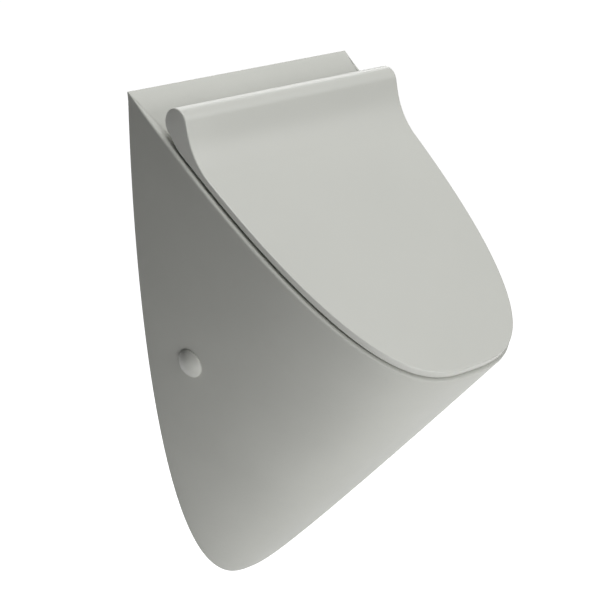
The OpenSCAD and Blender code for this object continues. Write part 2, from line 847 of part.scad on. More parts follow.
module hinge_gaskets() {
    color(rubber_colour) at_feet() ring_z(foot_r, stud_r + slide_gap, 0, foot_gasket_t);
}

module hinge_studs() {
    color(steel_colour) at_feet() {
        translate([0, 0, -deck_t - stud_tail]) {
            cylinder(r = stud_r, h = deck_t + stud_tail + foot_gasket_t);
        }
    }
}

module hinge_grommets() {
    color(rubber_colour) at_feet() {
        ring_z(foot_hole_r - slide_gap, stud_r + slide_gap, -deck_t, -deck_t + grommet_sleeve);
        ring_z(foot_hole_r + grommet_lip, stud_r + slide_gap, -deck_t - grommet_t, -deck_t);
    }
}

module hinge_washers() {
    color(steel_colour) at_feet() {
        ring_z(
            foot_hole_r + washer_lip,
            stud_r + slide_gap,
            -deck_t - grommet_t - washer_t,
            -deck_t - grommet_t
        );
    }
}

module hinge_nuts() {
    nut_top = -deck_t - grommet_t - washer_t;
    color(brass_colour) at_feet() difference() {
        translate([0, 0, nut_top - nut_t]) cylinder(r = stud_r + 3.5, h = nut_t, $fn = 6);
        translate([0, 0, nut_top - nut_t - over]) {
            cylinder(r = stud_r + run_gap, h = nut_t + 2 * over);
        }
    }
}

// Outline of the lid on the sloping top, drawn as across and up the slope
module lid_outline() {
    points = [
        for (i = [0:last])
            let (ang = step_angle(i), p = rim_uv(ang, 0, 0), inward = rim_inward(ang))
            i == 0
                ? [-half_w + lid_inset, 0]
                : i == last
                    ? [half_w - lid_inset, 0]
                    : [p.x + inward.x * lid_inset, -p.y - inward.y * lid_inset]
    ];
    polygon(points);
}

module lid_section() {
    first = 90 - flank_angle;
    sweep = 360 + under_angle - first;
    bulb = [
        for (i = [0:bulb_steps])
            let (a = first + sweep * i / bulb_steps)
            [-bulb_u - bulb_r * cos(a), bulb_v + bulb_r * sin(a)]
    ];
    blend = [
        for (i = [0:blend_steps])
            let (a = flank_angle * i / blend_steps)
            [-blend_u + flank_blend_r * sin(a), lid_top + flank_blend_r * (1 - cos(a))]
    ];
    polygon(concat(
        bulb,
        [[-bulb_under_u, lid_gap], [-rim_len, lid_gap], [-rim_len, lid_top]],
        blend
    ));
}

// Space that the hinge arm needs inside the lid, from closed to fully open
module arm_space() {
    reach = 2 * bulb_r;
    clear = arm_t / 2 + part_gap;
    translate([-bulb_u, bulb_v]) {
        circle(r = barrel_r + part_gap);
        rotate(180 - arm_angle) translate([0, -clear]) square([reach, 2 * clear]);
        rotate(180 - arm_angle + lid_open) translate([0, -clear]) square([reach, 2 * clear]);
        polygon(concat(
            [[0, 0]],
            [
                for (turn = [0:lid_open / 8:lid_open])
                    reach * [cos(180 - arm_angle + turn), sin(180 - arm_angle + turn)]
            ]
        ));
    }
}

// Lid moulded in one piece, with a full width bulb that hides the hinges and dampers
module lid_panel() {
    color(lid_colour) on_deck() difference() {
        intersection() {
            along_x(-half_w, half_w) lid_section();
            linear_extrude(3 * bulb_r + bulb_v) lid_outline();
        }
        both_sides() {
            along_x(slot_in, slot_out) arm_space();
            along_x(slot_in - bush_len - part_gap, slot_in + over) {
                translate([-bulb_u, bulb_v]) circle(r = bush_r + slide_gap);
            }
            along_x(slot_out - over, damper_out + part_gap) {
                translate([-bulb_u, bulb_v]) {
                    circle(r = damper_r + slide_gap);
                    cover_slot(0, cover_half + slide_gap);
                }
            }
            along_x(damper_out, damper_out + cover_tongue + part_gap) {
                translate([-bulb_u, bulb_v]) cover_slot(damper_r + 2.5, cover_half + slide_gap);
            }
            at_cover_screw(2) cylinder(r = cover_screw_r + run_gap, h = bulb_r);
            translate([hinge_x, -foot_u, 0]) {
                cylinder(r = foot_space_r, h = foot_space_h);
                translate([-foot_space_r + part_gap, 0, 0]) {
                    cube([2 * (foot_space_r - part_gap), foot_u, foot_space_h]);
                }
            }
        }
        at_buffers() cylinder(r = buffer_stem_r + run_gap, h = lid_gap + buffer_stem + slide_gap);
    }
}

// Soft close damper that turns with the lid round the pin
module damper(side) {
    color(plastic_colour) on_side(side) on_deck() difference() {
        along_x(damper_in, damper_out) translate([-bulb_u, bulb_v]) circle(r = damper_r);
        along_x(damper_in - over, damper_in + pin_depth + part_gap) {
            translate([-bulb_u, bulb_v]) circle(r = pin_r + run_gap);
        }
    }
}

// Slot in a section, from some way out from the hinge axis towards the damper's cover
module cover_slot(start, half) {
    rotate(180 - cover_angle) translate([start, -half]) square([2 * bulb_r, 2 * half]);
}

module damper_cover(side) {
    inner = damper_r + 2 * slide_gap;
    color(lid_colour) on_side(side) on_deck() difference() {
        union() {
            along_x(damper_in, damper_out) {
                translate([-bulb_u, bulb_v]) intersection() {
                    difference() {
                        circle(r = bulb_r - slide_gap);
                        circle(r = inner);
                    }
                    cover_slot(0, cover_half);
                }
            }
            along_x(damper_out - over, damper_out + cover_tongue) {
                translate([-bulb_u, bulb_v]) intersection() {
                    circle(r = bulb_r - slide_gap);
                    cover_slot(damper_r + 2.5 + slide_gap, cover_half);
                }
            }
        }
        at_cover_screw(0) cylinder(r = cover_screw_r + run_gap, h = 2 * bulb_r);
        at_cover_screw(bulb_r - 2) cylinder(r = cover_head_r + slide_gap, h = bulb_r);
    }
}

// Line of the screw that holds a damper's cover, starting some way out from the hinge axis
module at_cover_screw(start) {
    translate([damper_out + cover_tongue / 2, -bulb_u, bulb_v]) {
        rotate([180 - cover_angle, 0, 0]) rotate([-90, 0, 0]) translate([0, 0, start]) children();
    }
}

module cover_screws() {
    color(steel_colour) both_sides() on_deck() {
        at_cover_screw(3) cylinder(r = cover_screw_r, h = bulb_r - 4);
        at_cover_screw(bulb_r - 2 + slide_gap) cylinder(r = cover_head_r, h = 1.4);
    }
}

module hinge_bushes() {
    color(plastic_colour) both_sides() on_deck() difference() {
        along_x(slot_in - bush_len, slot_in) translate([-bulb_u, bulb_v]) circle(r = bush_r);
        along_x(slot_in - bush_len - over, slot_in + over) {
            translate([-bulb_u, bulb_v]) circle(r = pin_r + run_gap);
        }
    }
}

module at_buffers() {
    for (ang = buffer_angles) {
        p = rim_uv(ang, 0, 0) + rim_inward(ang) * buffer_inset;
        both_sides() translate([-p.x, -p.y, 0]) children();
    }
}

module lid_buffers() {
    color(rubber_colour) on_deck() at_buffers() {
        translate([0, 0, rest_gap]) cylinder(r = buffer_r, h = lid_gap - rest_gap);
        translate([0, 0, lid_gap - slide_gap]) cylinder(r = buffer_stem_r, h = buffer_stem);
    }
}

ceramic_body();
flush_spreader();
spreader_gasket();
spreader_nut();
inlet_pipe();
inlet_seal();
drain_strainer();
strainer_screw();
outlet_gasket();
trap_inlet();
trap_nut();
trap_cup();
outlet_adapter();
outlet_seal();
wall_bracket(-1);  // wall_bracket_left
wall_bracket(1);  // wall_bracket_right
clamp_screws();
clamp_bushes();
side_cap(-1);  // side_cap_left
side_cap(1);  // side_cap_right
hinge_post(-1);  // hinge_post_left
hinge_post(1);  // hinge_post_right
hinge_pins();
hinge_gaskets();
hinge_studs();
hinge_grommets();
hinge_washers();
hinge_nuts();
lid_panel();
damper(-1);  // damper_left
damper(1);  // damper_right
damper_cover(-1);  // damper_cover_left
damper_cover(1);  // damper_cover_right
cover_screws();
hinge_bushes();
lid_buffers();
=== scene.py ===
"""Looks of a wall hung urinal with a soft close lid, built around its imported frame.

The wall is the plane y = 0 and the bowl stands out towards -y. Shapes are worked out in
millimetres and become metres where a mesh is made. Slope coordinates are x across the body,
u down the sloping top from its back edge, and v square to that top. A field that is called
angle, flank, swing or degrees is in degrees, and one that is called power shapes a
superellipse.
"""

import logging
import math
from dataclasses import dataclass, field
from enum import Enum

import bmesh
import bpy
import numpy as np
from mathutils import Matrix, Vector


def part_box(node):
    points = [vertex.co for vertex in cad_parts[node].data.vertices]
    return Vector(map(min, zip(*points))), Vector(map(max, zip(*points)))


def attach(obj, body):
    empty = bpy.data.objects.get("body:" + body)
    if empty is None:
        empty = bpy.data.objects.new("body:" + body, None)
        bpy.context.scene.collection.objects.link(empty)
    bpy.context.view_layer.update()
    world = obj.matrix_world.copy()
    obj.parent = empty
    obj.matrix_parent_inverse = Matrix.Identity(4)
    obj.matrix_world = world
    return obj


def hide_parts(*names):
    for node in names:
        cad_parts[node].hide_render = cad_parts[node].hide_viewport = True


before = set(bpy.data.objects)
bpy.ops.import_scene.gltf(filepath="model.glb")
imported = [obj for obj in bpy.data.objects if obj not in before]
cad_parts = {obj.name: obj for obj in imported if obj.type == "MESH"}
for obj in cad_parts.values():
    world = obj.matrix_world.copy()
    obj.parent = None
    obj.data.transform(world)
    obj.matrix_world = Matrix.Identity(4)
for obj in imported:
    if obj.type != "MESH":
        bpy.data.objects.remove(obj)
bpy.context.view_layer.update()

# One millimetre in metres, which is the unit of the scene
MM = 0.001
# Points nearer to each other than this many millimetres become one, and edges shorter than
# the share of it that follows are taken out
MERGE_MM = 0.002
SLIVER_SHARE = 0.25
# Sides of a round cutter, faces across a softened edge, and the least angle of a crisp edge
ROUND_STEPS = 72
SOFT_SEGMENTS = 3
SHARP_DEGREES = 32.0
# Part of a noise's range that is stretched over a whole blend
NOISE_LOW = 0.3
NOISE_HIGH = 0.7
DRIFT_DETAIL = 3.0
GRAIN_DETAIL = 4.0
# Where a speck starts to fade and where it ends, as shares of its cell
SPECK_CORE = 0.12
SPECK_EDGE = 0.3
# How far light gets into waxy plastic and clear rubber, in metres for red, green and blue
SCATTER = (0.004, 0.004, 0.0035)
# Sockets of a colour mix by number, because several of them share a name
MIX_SHARE = 0
MIX_FIRST = 6
MIX_SECOND = 7
MIX_RESULT = 2
# What counts as nothing where a sine ought to be zero
ROUNDING = 1e-9
LOG = logging.getLogger("urinal")


class Body(Enum):
    """The two bodies of the frame, by name."""

    FIXED = "body"
    LID = "lid"


class Side(Enum):
    """Left or right, as the sign of x."""

    LEFT = -1
    RIGHT = 1


class Carve(Enum):
    """What a cutter does to a mesh."""

    CUT = "DIFFERENCE"
    JOIN = "UNION"
    KEEP = "INTERSECT"


def linear(hex_colour: str) -> tuple[float, float, float, float]:
    """Turns an sRGB hex colour into linear light.

    Args:
        hex_colour: Six hex digits with or without a leading #.

    Returns:
        Red, green, blue and an alpha of 1.
    """
    digits = hex_colour.lstrip("#")
    parts = [int(digits[i:i + 2], 16) / 255 for i in (0, 2, 4)]
    light = [p / 12.92 if p <= 0.04045 else ((p + 0.055) / 1.055) ** 2.4 for p in parts]
    return (light[0], light[1], light[2], 1.0)


def per_metre(size_mm: float) -> float:
    """Texture scale at which a pattern's features are this many millimetres wide."""
    return 1 / (size_mm * MM)


def clear_tree(owner: bpy.types.Material | bpy.types.World) -> bpy.types.NodeTree:
    """Gives a material or a world a node tree with nothing in it.

    Args:
        owner: Material or world whose nodes are built next.

    Returns:
        Its empty node tree.
    """
    owner.use_nodes = True
    owner.node_tree.nodes.clear()
    return owner.node_tree


def add_node(tree: bpy.types.NodeTree, kind: str, settings: dict[str, object] | None = None,
             inputs: dict[str | int, object] | None = None) -> bpy.types.Node:
    """Adds a node with its settings and its links.

    Args:
        tree: Node tree that gets the node.
        kind: Blender's name for the node type.
        settings: Attribute values of the node.
        inputs: Socket name or index, with a value or the socket that feeds it.

    Returns:
        The new node.
    """
    node = tree.nodes.new(kind)
    for name, value in (settings or {}).items():
        setattr(node, name, value)
    for name, value in (inputs or {}).items():
        if isinstance(value, bpy.types.NodeSocket):
            tree.links.new(value, node.inputs[name])
        else:
            node.inputs[name].default_value = value
    return node


@dataclass(frozen=True)
class Finish:
    """One real material with the surface that its making left.

    A slow drift and a fine grain move the colour and the roughness a little, and the grain
    also gives the surface its relief. Drawn and turned metals stretch the grain along one axis.
    """

    name: str
    colour: str
    shade: str
    roughness: float
    rough_swing: float = 0.04
    metallic: float = 0.0
    ior: float = 1.5
    drift_mm: float = 60.0
    grain_mm: float = 2.0
    relief_mm: float = 0.02
    relief: float = 0.3
    stretch: tuple[float, float, float] = (1.0, 1.0, 1.0)
    speck: str = ""
    speck_mm: float = 1.0
    speck_share: float = 0.3
    subsurface: float = 0.0
    specular: float = 0.5

    def build(self) -> bpy.types.Material:
        """Builds the finish's nodes, unless they are already there.

        Returns:
            The material, which every piece with this finish shares.
        """
        known = bpy.data.materials.get(self.name)
        if known:
            return known
        material = bpy.data.materials.new(self.name)
        tree = clear_tree(material)
        place = add_node(tree, "ShaderNodeTexCoord").outputs["Object"]
        along = add_node(tree, "ShaderNodeMapping", inputs={"Vector": place, "Scale": self.stretch})
        drift = add_node(tree, "ShaderNodeTexNoise", inputs={
            "Vector": place, "Scale": per_metre(self.drift_mm),
            "Detail": DRIFT_DETAIL})
        grain = add_node(tree, "ShaderNodeTexNoise", inputs={
            "Vector": along.outputs["Vector"], "Scale": per_metre(self.grain_mm),
            "Detail": GRAIN_DETAIL})
        blend = add_node(tree, "ShaderNodeMapRange", inputs={
            "Value": drift.outputs["Fac"], "From Min": NOISE_LOW, "From Max": NOISE_HIGH})
        colour = add_node(tree, "ShaderNodeMix", {"data_type": "RGBA"}, {
            MIX_SHARE: blend.outputs["Result"], MIX_FIRST: linear(self.colour),
            MIX_SECOND: linear(self.shade)})
        tone = colour.outputs[MIX_RESULT]
        if self.speck:
            cells = add_node(tree, "ShaderNodeTexVoronoi", inputs={
                "Vector": place, "Scale": per_metre(self.speck_mm)})
            near = add_node(tree, "ShaderNodeMapRange", inputs={
                "Value": cells.outputs["Distance"], "From Min": SPECK_CORE,
                "From Max": SPECK_EDGE, "To Min": self.speck_share, "To Max": 0.0})
            specks = add_node(tree, "ShaderNodeMix", {"data_type": "RGBA"}, {
                MIX_SHARE: near.outputs["Result"], MIX_FIRST: tone,
                MIX_SECOND: linear(self.speck)})
            tone = specks.outputs[MIX_RESULT]
        rough = add_node(tree, "ShaderNodeMapRange", inputs={
            "Value": grain.outputs["Fac"], "From Min": NOISE_LOW, "From Max": NOISE_HIGH,
            "To Min": self.roughness - self.rough_swing,
            "To Max": self.roughness + self.rough_swing})
        bump = add_node(tree, "ShaderNodeBump", inputs={
            "Height": grain.outputs["Fac"], "Distance": self.relief_mm * MM,
            "Strength": self.relief})
        shader = add_node(tree, "ShaderNodeBsdfPrincipled", inputs={
            "Base Color": tone, "Roughness": rough.outputs["Result"],
            "Normal": bump.outputs["Normal"], "Metallic": self.metallic,
            "IOR": self.ior, "Specular IOR Level": self.specular,
            "Subsurface Weight": self.subsurface, "Subsurface Radius": SCATTER,
            "Subsurface Scale": 1.0})
        add_node(tree, "ShaderNodeOutputMaterial", inputs={"Surface": shader.outputs["BSDF"]})
        return material


# Vitreous china under a sprayed satin glaze: soft broad sheen with a faint orange peel
GLAZE = Finish("vitreous_china_sprayed_satin_glaze", "#cccdc7", "#c8c9c3", 0.40, 0.03,
               ior=1.5, drift_mm=90, grain_mm=5, relief_mm=0.03, relief=0.25,
               speck="#b9bab3", speck_mm=7, speck_share=0.05, specular=0.06)
# Fired clay left without glaze: dry, chalky and a little sandy, with its grain drawn coarser
# than real so that it shows
BISQUE = Finish("vitreous_china_fired_unglazed", "#dddad2", "#cfcbc1", 0.85, 0.06,
                ior=1.45, drift_mm=40, grain_mm=1.2, relief_mm=0.12, relief=0.6,
                speck="#a9a497", speck_mm=3, speck_share=0.35)
# Urea formaldehyde pressed in a polished mould: even colour and a tight satin sheen
THERMOSET = Finish("urea_formaldehyde_compression_moulded", "#cccdc7", "#cacbc5", 0.36, 0.02,
                   ior=1.55, drift_mm=120, grain_mm=1.6, relief_mm=0.008, relief=0.2)
# The side caps are moulded ABS in the glaze's colour, with a finer and more even skin
CAP_ABS = Finish("abs_injection_moulded_satin", "#cbccc6", "#c7c8c2", 0.38, 0.03,
                 ior=1.53, drift_mm=20, grain_mm=0.8, relief_mm=0.01, relief=0.25)
# Polypropylene fittings: milky white with a waxy surface
POLYPROPYLENE = Finish("polypropylene_injection_moulded", "#e6e6e1", "#dcdcd6", 0.42, 0.05,
                       ior=1.49, drift_mm=25, grain_mm=1.0, relief_mm=0.03, relief=0.35,
                       subsurface=0.15)
# Acetal bushes and dampers: denser white with a slippery sheen
ACETAL = Finish("acetal_machined", "#dfe0dc", "#d3d4cf", 0.33, 0.04,
                ior=1.48, drift_mm=10, grain_mm=0.6, relief_mm=0.015, relief=0.3)
# EPDM seals: near black and matt, with specks of dust drawn coarser than real
EPDM = Finish("epdm_rubber_moulded", "#343433", "#2b2b2a", 0.78, 0.08,
              ior=1.52, drift_mm=12, grain_mm=0.5, relief_mm=0.04, relief=0.45,
              speck="#4a4a48", speck_mm=0.9, speck_share=0.3)
# The lid's buffers are a clear grey elastomer that looks frosted
BUFFER = Finish("silicone_rubber_moulded", "#a9aaa6", "#9c9d99", 0.5, 0.06,
                ior=1.43, drift_mm=8, grain_mm=0.4, relief_mm=0.02, relief=0.3,
                subsurface=0.3)
# Stainless fasteners: cold drawn bright steel with fine lengthwise lines, drawn coarser than
# real so that they show
STAINLESS = Finish("stainless_steel_cold_drawn", "#b9bab9", "#a8a9a9", 0.28, 0.07,
                   metallic=1.0, drift_mm=9, grain_mm=0.35, relief_mm=0.015, relief=0.35,
                   stretch=(1.0, 1.0, 0.12))
# Hot dip galvanised plate: dull zinc with a broad mottle
GALVANISED = Finish("steel_hot_dip_galvanised", "#a9adaf", "#8f9496", 0.46, 0.12,
                    metallic=1.0, drift_mm=6, grain_mm=1.4, relief_mm=0.03, relief=0.35,
                    speck="#c6c9ca", speck_mm=5, speck_share=0.45)
# Turned brass: warm yellow with the lines of the tool, drawn coarser than real
BRASS = Finish("brass_turned", "#c8a65c", "#b39148", 0.30, 0.07,
               metallic=1.0, drift_mm=14, grain_mm=0.5, relief_mm=0.02, relief=0.35,
               stretch=(1.0, 0.15, 1.0))
# Chromed brass: mirror bright with the faint waviness of polishing
CHROMED_BRASS = Finish("brass_chrome_plated_polished", "#d3d6d8", "#c9cccf", 0.09, 0.03,
                       metallic=1.0, drift_mm=18, grain_mm=2.5, relief_mm=0.01, relief=0.2)
# Chromed die cast zinc: bright, a little softer than polished brass
CHROMED_ZINC = Finish("zinc_die_cast_chrome_plated", "#cfd1d3", "#c2c5c7", 0.14, 0.04,
                      metallic=1.0, drift_mm=12, grain_mm=1.5, relief_mm=0.015, relief=0.25)

# Which finish each kept node of the frame wears, and how wide its softened edges are in mm
NODE_FINISHES: dict[str, tuple[Finish, float]] = {
    "flush_spreader": (CHROMED_BRASS, 0.5),
    "spreader_gasket": (EPDM, 0.2),
    "spreader_nut": (BRASS, 0.5),
    "inlet_pipe": (BRASS, 0.4),
    "inlet_seal": (EPDM, 0.8),
    "drain_strainer": (CHROMED_BRASS, 0.25),
    "strainer_screw": (STAINLESS, 0.25),
    "outlet_gasket": (EPDM, 0.3),
    "trap_inlet": (POLYPROPYLENE, 0.4),
    "trap_nut": (POLYPROPYLENE, 0.4),
    "trap_cup": (POLYPROPYLENE, 0.8),
    "outlet_adapter": (POLYPROPYLENE, 0.5),
    "outlet_seal": (EPDM, 0.4),
    "wall_bracket_left": (GALVANISED, 0.5),
    "wall_bracket_right": (GALVANISED, 0.5),
    "clamp_bushes": (ACETAL, 0.3),
    "hinge_post_left": (CHROMED_ZINC, 0.5),
    "hinge_post_right": (CHROMED_ZINC, 0.5),
    "hinge_pins": (STAINLESS, 0.3),
    "hinge_gaskets": (EPDM, 0.15),
    "hinge_grommets": (EPDM, 0.4),
    "hinge_washers": (STAINLESS, 0.2),
    "hinge_nuts": (BRASS, 0.4),
    "damper_left": (ACETAL, 0.3),
    "damper_right": (ACETAL, 0.3),
    "damper_cover_left": (THERMOSET, 0.3),
    "damper_cover_right": (THERMOSET, 0.3),
    "cover_screws": (STAINLESS, 0.2),
    "hinge_bushes": (ACETAL, 0.2),
    "lid_buffers": (BUFFER, 0.5),
}


def signed_power(values: np.ndarray, power: float) -> np.ndarray:
    """Raises each value's size to a power and keeps its sign."""
    return np.sign(values) * np.abs(values) ** power


def mix(a: np.ndarray | float, b: np.ndarray | float,
        t: np.ndarray | float) -> np.ndarray | float:
    """Point a share t of the way from a to b."""
    return a * (1 - t) + b * t


def bend(a: np.ndarray, corner: np.ndarray, b: np.ndarray, t: float) -> np.ndarray:
    """Point on the curve that rounds the corner between a and b."""
    return mix(mix(a, corner, t), mix(corner, b, t), t)


def unit(vectors: np.ndarray) -> np.ndarray:
    """Scales every vector along the last axis to a length of 1."""
    return vectors / np.linalg.norm(vectors, axis=-1, keepdims=True)


def full_turn(steps: int) -> np.ndarray:
    """Angles in radians that share a full turn in equal steps."""
    return np.arange(steps) * 2 * math.pi / steps


def direction(azimuth: float, elevation: float) -> Vector:
    """Direction from the object to a place round it.

    Args:
        azimuth: Degrees round from the front, which faces -y.
        elevation: Degrees above the horizon.

    Returns:
        Vector with a length of 1.
    """
    turn, rise = math.radians(azimuth), math.radians(elevation)
    return Vector((math.sin(turn) * math.cos(rise), -math.cos(turn) * math.cos(rise),
                   math.sin(rise)))


@dataclass
class Mesher:
    """Collects points in millimetres and faces, and makes one object of them."""

    points: list[list[float]] = field(default_factory=list)
    faces: list[list[int]] = field(default_factory=list)

    def add(self, points: np.ndarray) -> np.ndarray:
        """Adds an array of points.

        Args:
            points: Points in millimetres, in any layout.

        Returns:
            Their numbers, in the same layout.
        """
        start = len(self.points)
        flat = np.asarray(points, float).reshape(-1, 3)
        self.points.extend(flat.tolist())
        return (start + np.arange(len(flat))).reshape(points.shape[:-1])

    def strip(self, first: np.ndarray, second: np.ndarray, closed: bool = False) -> None:
        """Joins two rows of point numbers with quads.

        Args:
            first: Numbers of one row.
            second: Numbers of the next row, as many as in the first.
            closed: Whether the last point joins the first again.
        """
        count = len(first)
        for i in range(count if closed else count - 1):
            j = (i + 1) % count
            self.faces.append([first[i], second[i], second[j], first[j]])

    def sheet(self, grid: np.ndarray, closed: bool = False) -> None:
        """Joins each row of a grid of point numbers to the next."""
        for first, second in zip(grid[:-1], grid[1:]):
            self.strip(first, second, closed)

    def cap(self, ring: np.ndarray) -> None:
        """Closes a ring of point numbers with one face."""
        self.faces.append(list(ring))

    def tube(self, rings: list | np.ndarray) -> None:
        """Adds rings of points as one closed body, with a face over each end.

        Args:
            rings: Rings with the same number of points, from one end to the other.
        """
        grid = self.add(np.array(rings))
        self.sheet(grid, closed=True)
        self.cap(grid[0])
        self.cap(grid[-1])

    def build(self, name: str) -> bpy.types.Object:
        """Makes the object, with doubled points merged and its normals outwards.

        Args:
            name: Name of the object and its mesh.

        Returns:
            The new object, linked to the scene.
        """
        mesh = bpy.data.meshes.new(name)
        build = bmesh.new()
        made = [build.verts.new(Vector(p) * MM) for p in self.points]
        for face in self.faces:
            ring = [v for k, v in enumerate(face) if v not in face[:k]]
            if len(ring) > 2:
                build.faces.new([made[v] for v in ring])
        bmesh.ops.remove_doubles(build, verts=build.verts, dist=MERGE_MM * MM)
        bmesh.ops.dissolve_degenerate(build, edges=build.edges,
                                      dist=MERGE_MM * MM * SLIVER_SHARE)
        bmesh.ops.recalc_face_normals(build, faces=build.faces)
        build.to_mesh(mesh)
        build.free()
        piece = bpy.data.objects.new(name, mesh)
        bpy.context.scene.collection.objects.link(piece)
        return piece


def carve(piece: bpy.types.Object, tool: bpy.types.Object, how: Carve = Carve.CUT) -> None:
    """Cuts one object with another, which is then removed.

    Args:
        piece: Object whose mesh changes.
        tool: Closed object that cuts it, and whose material its cut faces get.
        how: What the tool does.
    """
    step = piece.modifiers.new("carve", "BOOLEAN")
    step.operation = how.value
    step.solver = "EXACT"
    step.material_mode = "TRANSFER"
    step.object = tool
    settle(piece)
    mesh = tool.data
    bpy.data.objects.remove(tool)
    bpy.data.meshes.remove(mesh)


def settle(piece: bpy.types.Object) -> None:
    """Applies all modifiers of an object that this script made.

    Args:
        piece: Object whose mesh takes them up.
    """
    bpy.context.view_layer.update()
    graph = bpy.context.evaluated_depsgraph_get()
    mesh = bpy.data.meshes.new_from_object(piece.evaluated_get(graph))
    old = piece.data
    piece.modifiers.clear()
    piece.data = mesh
    name = old.name
    bpy.data.meshes.remove(old)
    mesh.name = name


def soften(piece: bpy.types.Object, width_mm: float, angle: float) -> None:
    """Rounds the edges of a mesh that are sharper than an angle.

    Args:
        piece: Object whose mesh changes.
        width_mm: Width of the rounding.
        angle: Least angle between faces, in degrees.
    """
    bevel = piece.modifiers.new("soften", "BEVEL")
    bevel.width = width_mm * MM
    bevel.segments = SOFT_SEGMENTS
    bevel.limit_method = "ANGLE"
    bevel.angle_limit = math.radians(angle)
    bevel.use_clamp_overlap = False
    settle(piece)


def smooth(piece: bpy.types.Object, sharp_degrees: float = SHARP_DEGREES) -> None:
    """Shades a mesh smooth, with edges sharper than an angle left crisp."""
    piece.data.shade_smooth()
    piece.data.set_sharp_from_angle(angle=math.radians(sharp_degrees))


def paint(piece: bpy.types.Object, finish: Finish) -> None:
    """Gives an object one finish."""
    piece.data.materials.clear()
    piece.data.materials.append(finish.build())


def slab(name: str, low: tuple[float, float, float], high: tuple[float, float, float],
         place: Matrix | None = None) -> bpy.types.Object:
    """Makes a cutting block.

    Args:
        name: Name of the cutter.
        low: Its lowest corner, in millimetres.
        high: Its highest corner.
        place: Matrix in millimetres that moves it.

    Returns:
        The closed cutter.
    """
    corners = np.array([[x, y, z] for z in (low[2], high[2])
                        for x, y in ((low[0], low[1]), (high[0], low[1]),
                                     (high[0], high[1]), (low[0], high[1]))])
    if place is not None:
        corners = np.array([tuple(place @ Vector(c)) for c in corners])
    mesher = Mesher()
    mesher.tube(corners.reshape(2, 4, 3))
    return mesher.build(name)


@dataclass(frozen=True)
class Bore:
    """Round hole along z: its radius and the two heights that it runs between."""

    name: str
    radius: float
    low: float
    high: float

    def cutter(self, place: Matrix) -> bpy.types.Object:
        """Makes the cylinder that cuts the hole.

        Args:
            place: Matrix in millimetres that moves the hole's axis to where it is cut.

        Returns:
            The closed cutter.
        """
        circle = [(self.radius * math.cos(a), self.radius * math.sin(a))
                  for a in full_turn(ROUND_STEPS)]
        mesher = Mesher()
        mesher.tube([[tuple(place @ Vector((x, y, z))) for x, y in circle]
                     for z in (self.low, self.high)])
        return mesher.build(self.name)


@dataclass
class Slope:
    """The sloping top, which the bowl's mouth, the hinges and the lid are laid out on."""

    top: float
    angle: float = 37.2
    foot_x: float = 70.0
    foot_u: float = 73.07

    def point(self, x: np.ndarray, u: np.ndarray, v: np.ndarray | float) -> np.ndarray:
        """Points in space from slope coordinates.

        Args:
            x: Across the body.
            u: Down the slope from the back edge.
            v: Square to the slope.

        Returns:
            Array of points in millimetres.
        """
        lean = math.radians(self.angle)
        x, u, v = np.broadcast_arrays(x, u, v)
        return np.stack([
            x,
            -u * math.cos(lean) - v * math.sin(lean),
            self.top - u * math.sin(lean) + v * math.cos(lean),
        ], axis=-1)

    def matrix(self) -> Matrix:
        """Carries x, -u and v to space."""
        return Matrix.Translation((0, 0, self.top)) @ Matrix.Rotation(
            math.radians(self.angle), 4, "X")

    def foot(self, side: Side) -> Matrix:
        """Stands an axis in the middle of one side's hinge foot, square to the slope."""
        return self.matrix() @ Matrix.Translation((side.value * self.foot_x, -self.foot_u, 0))


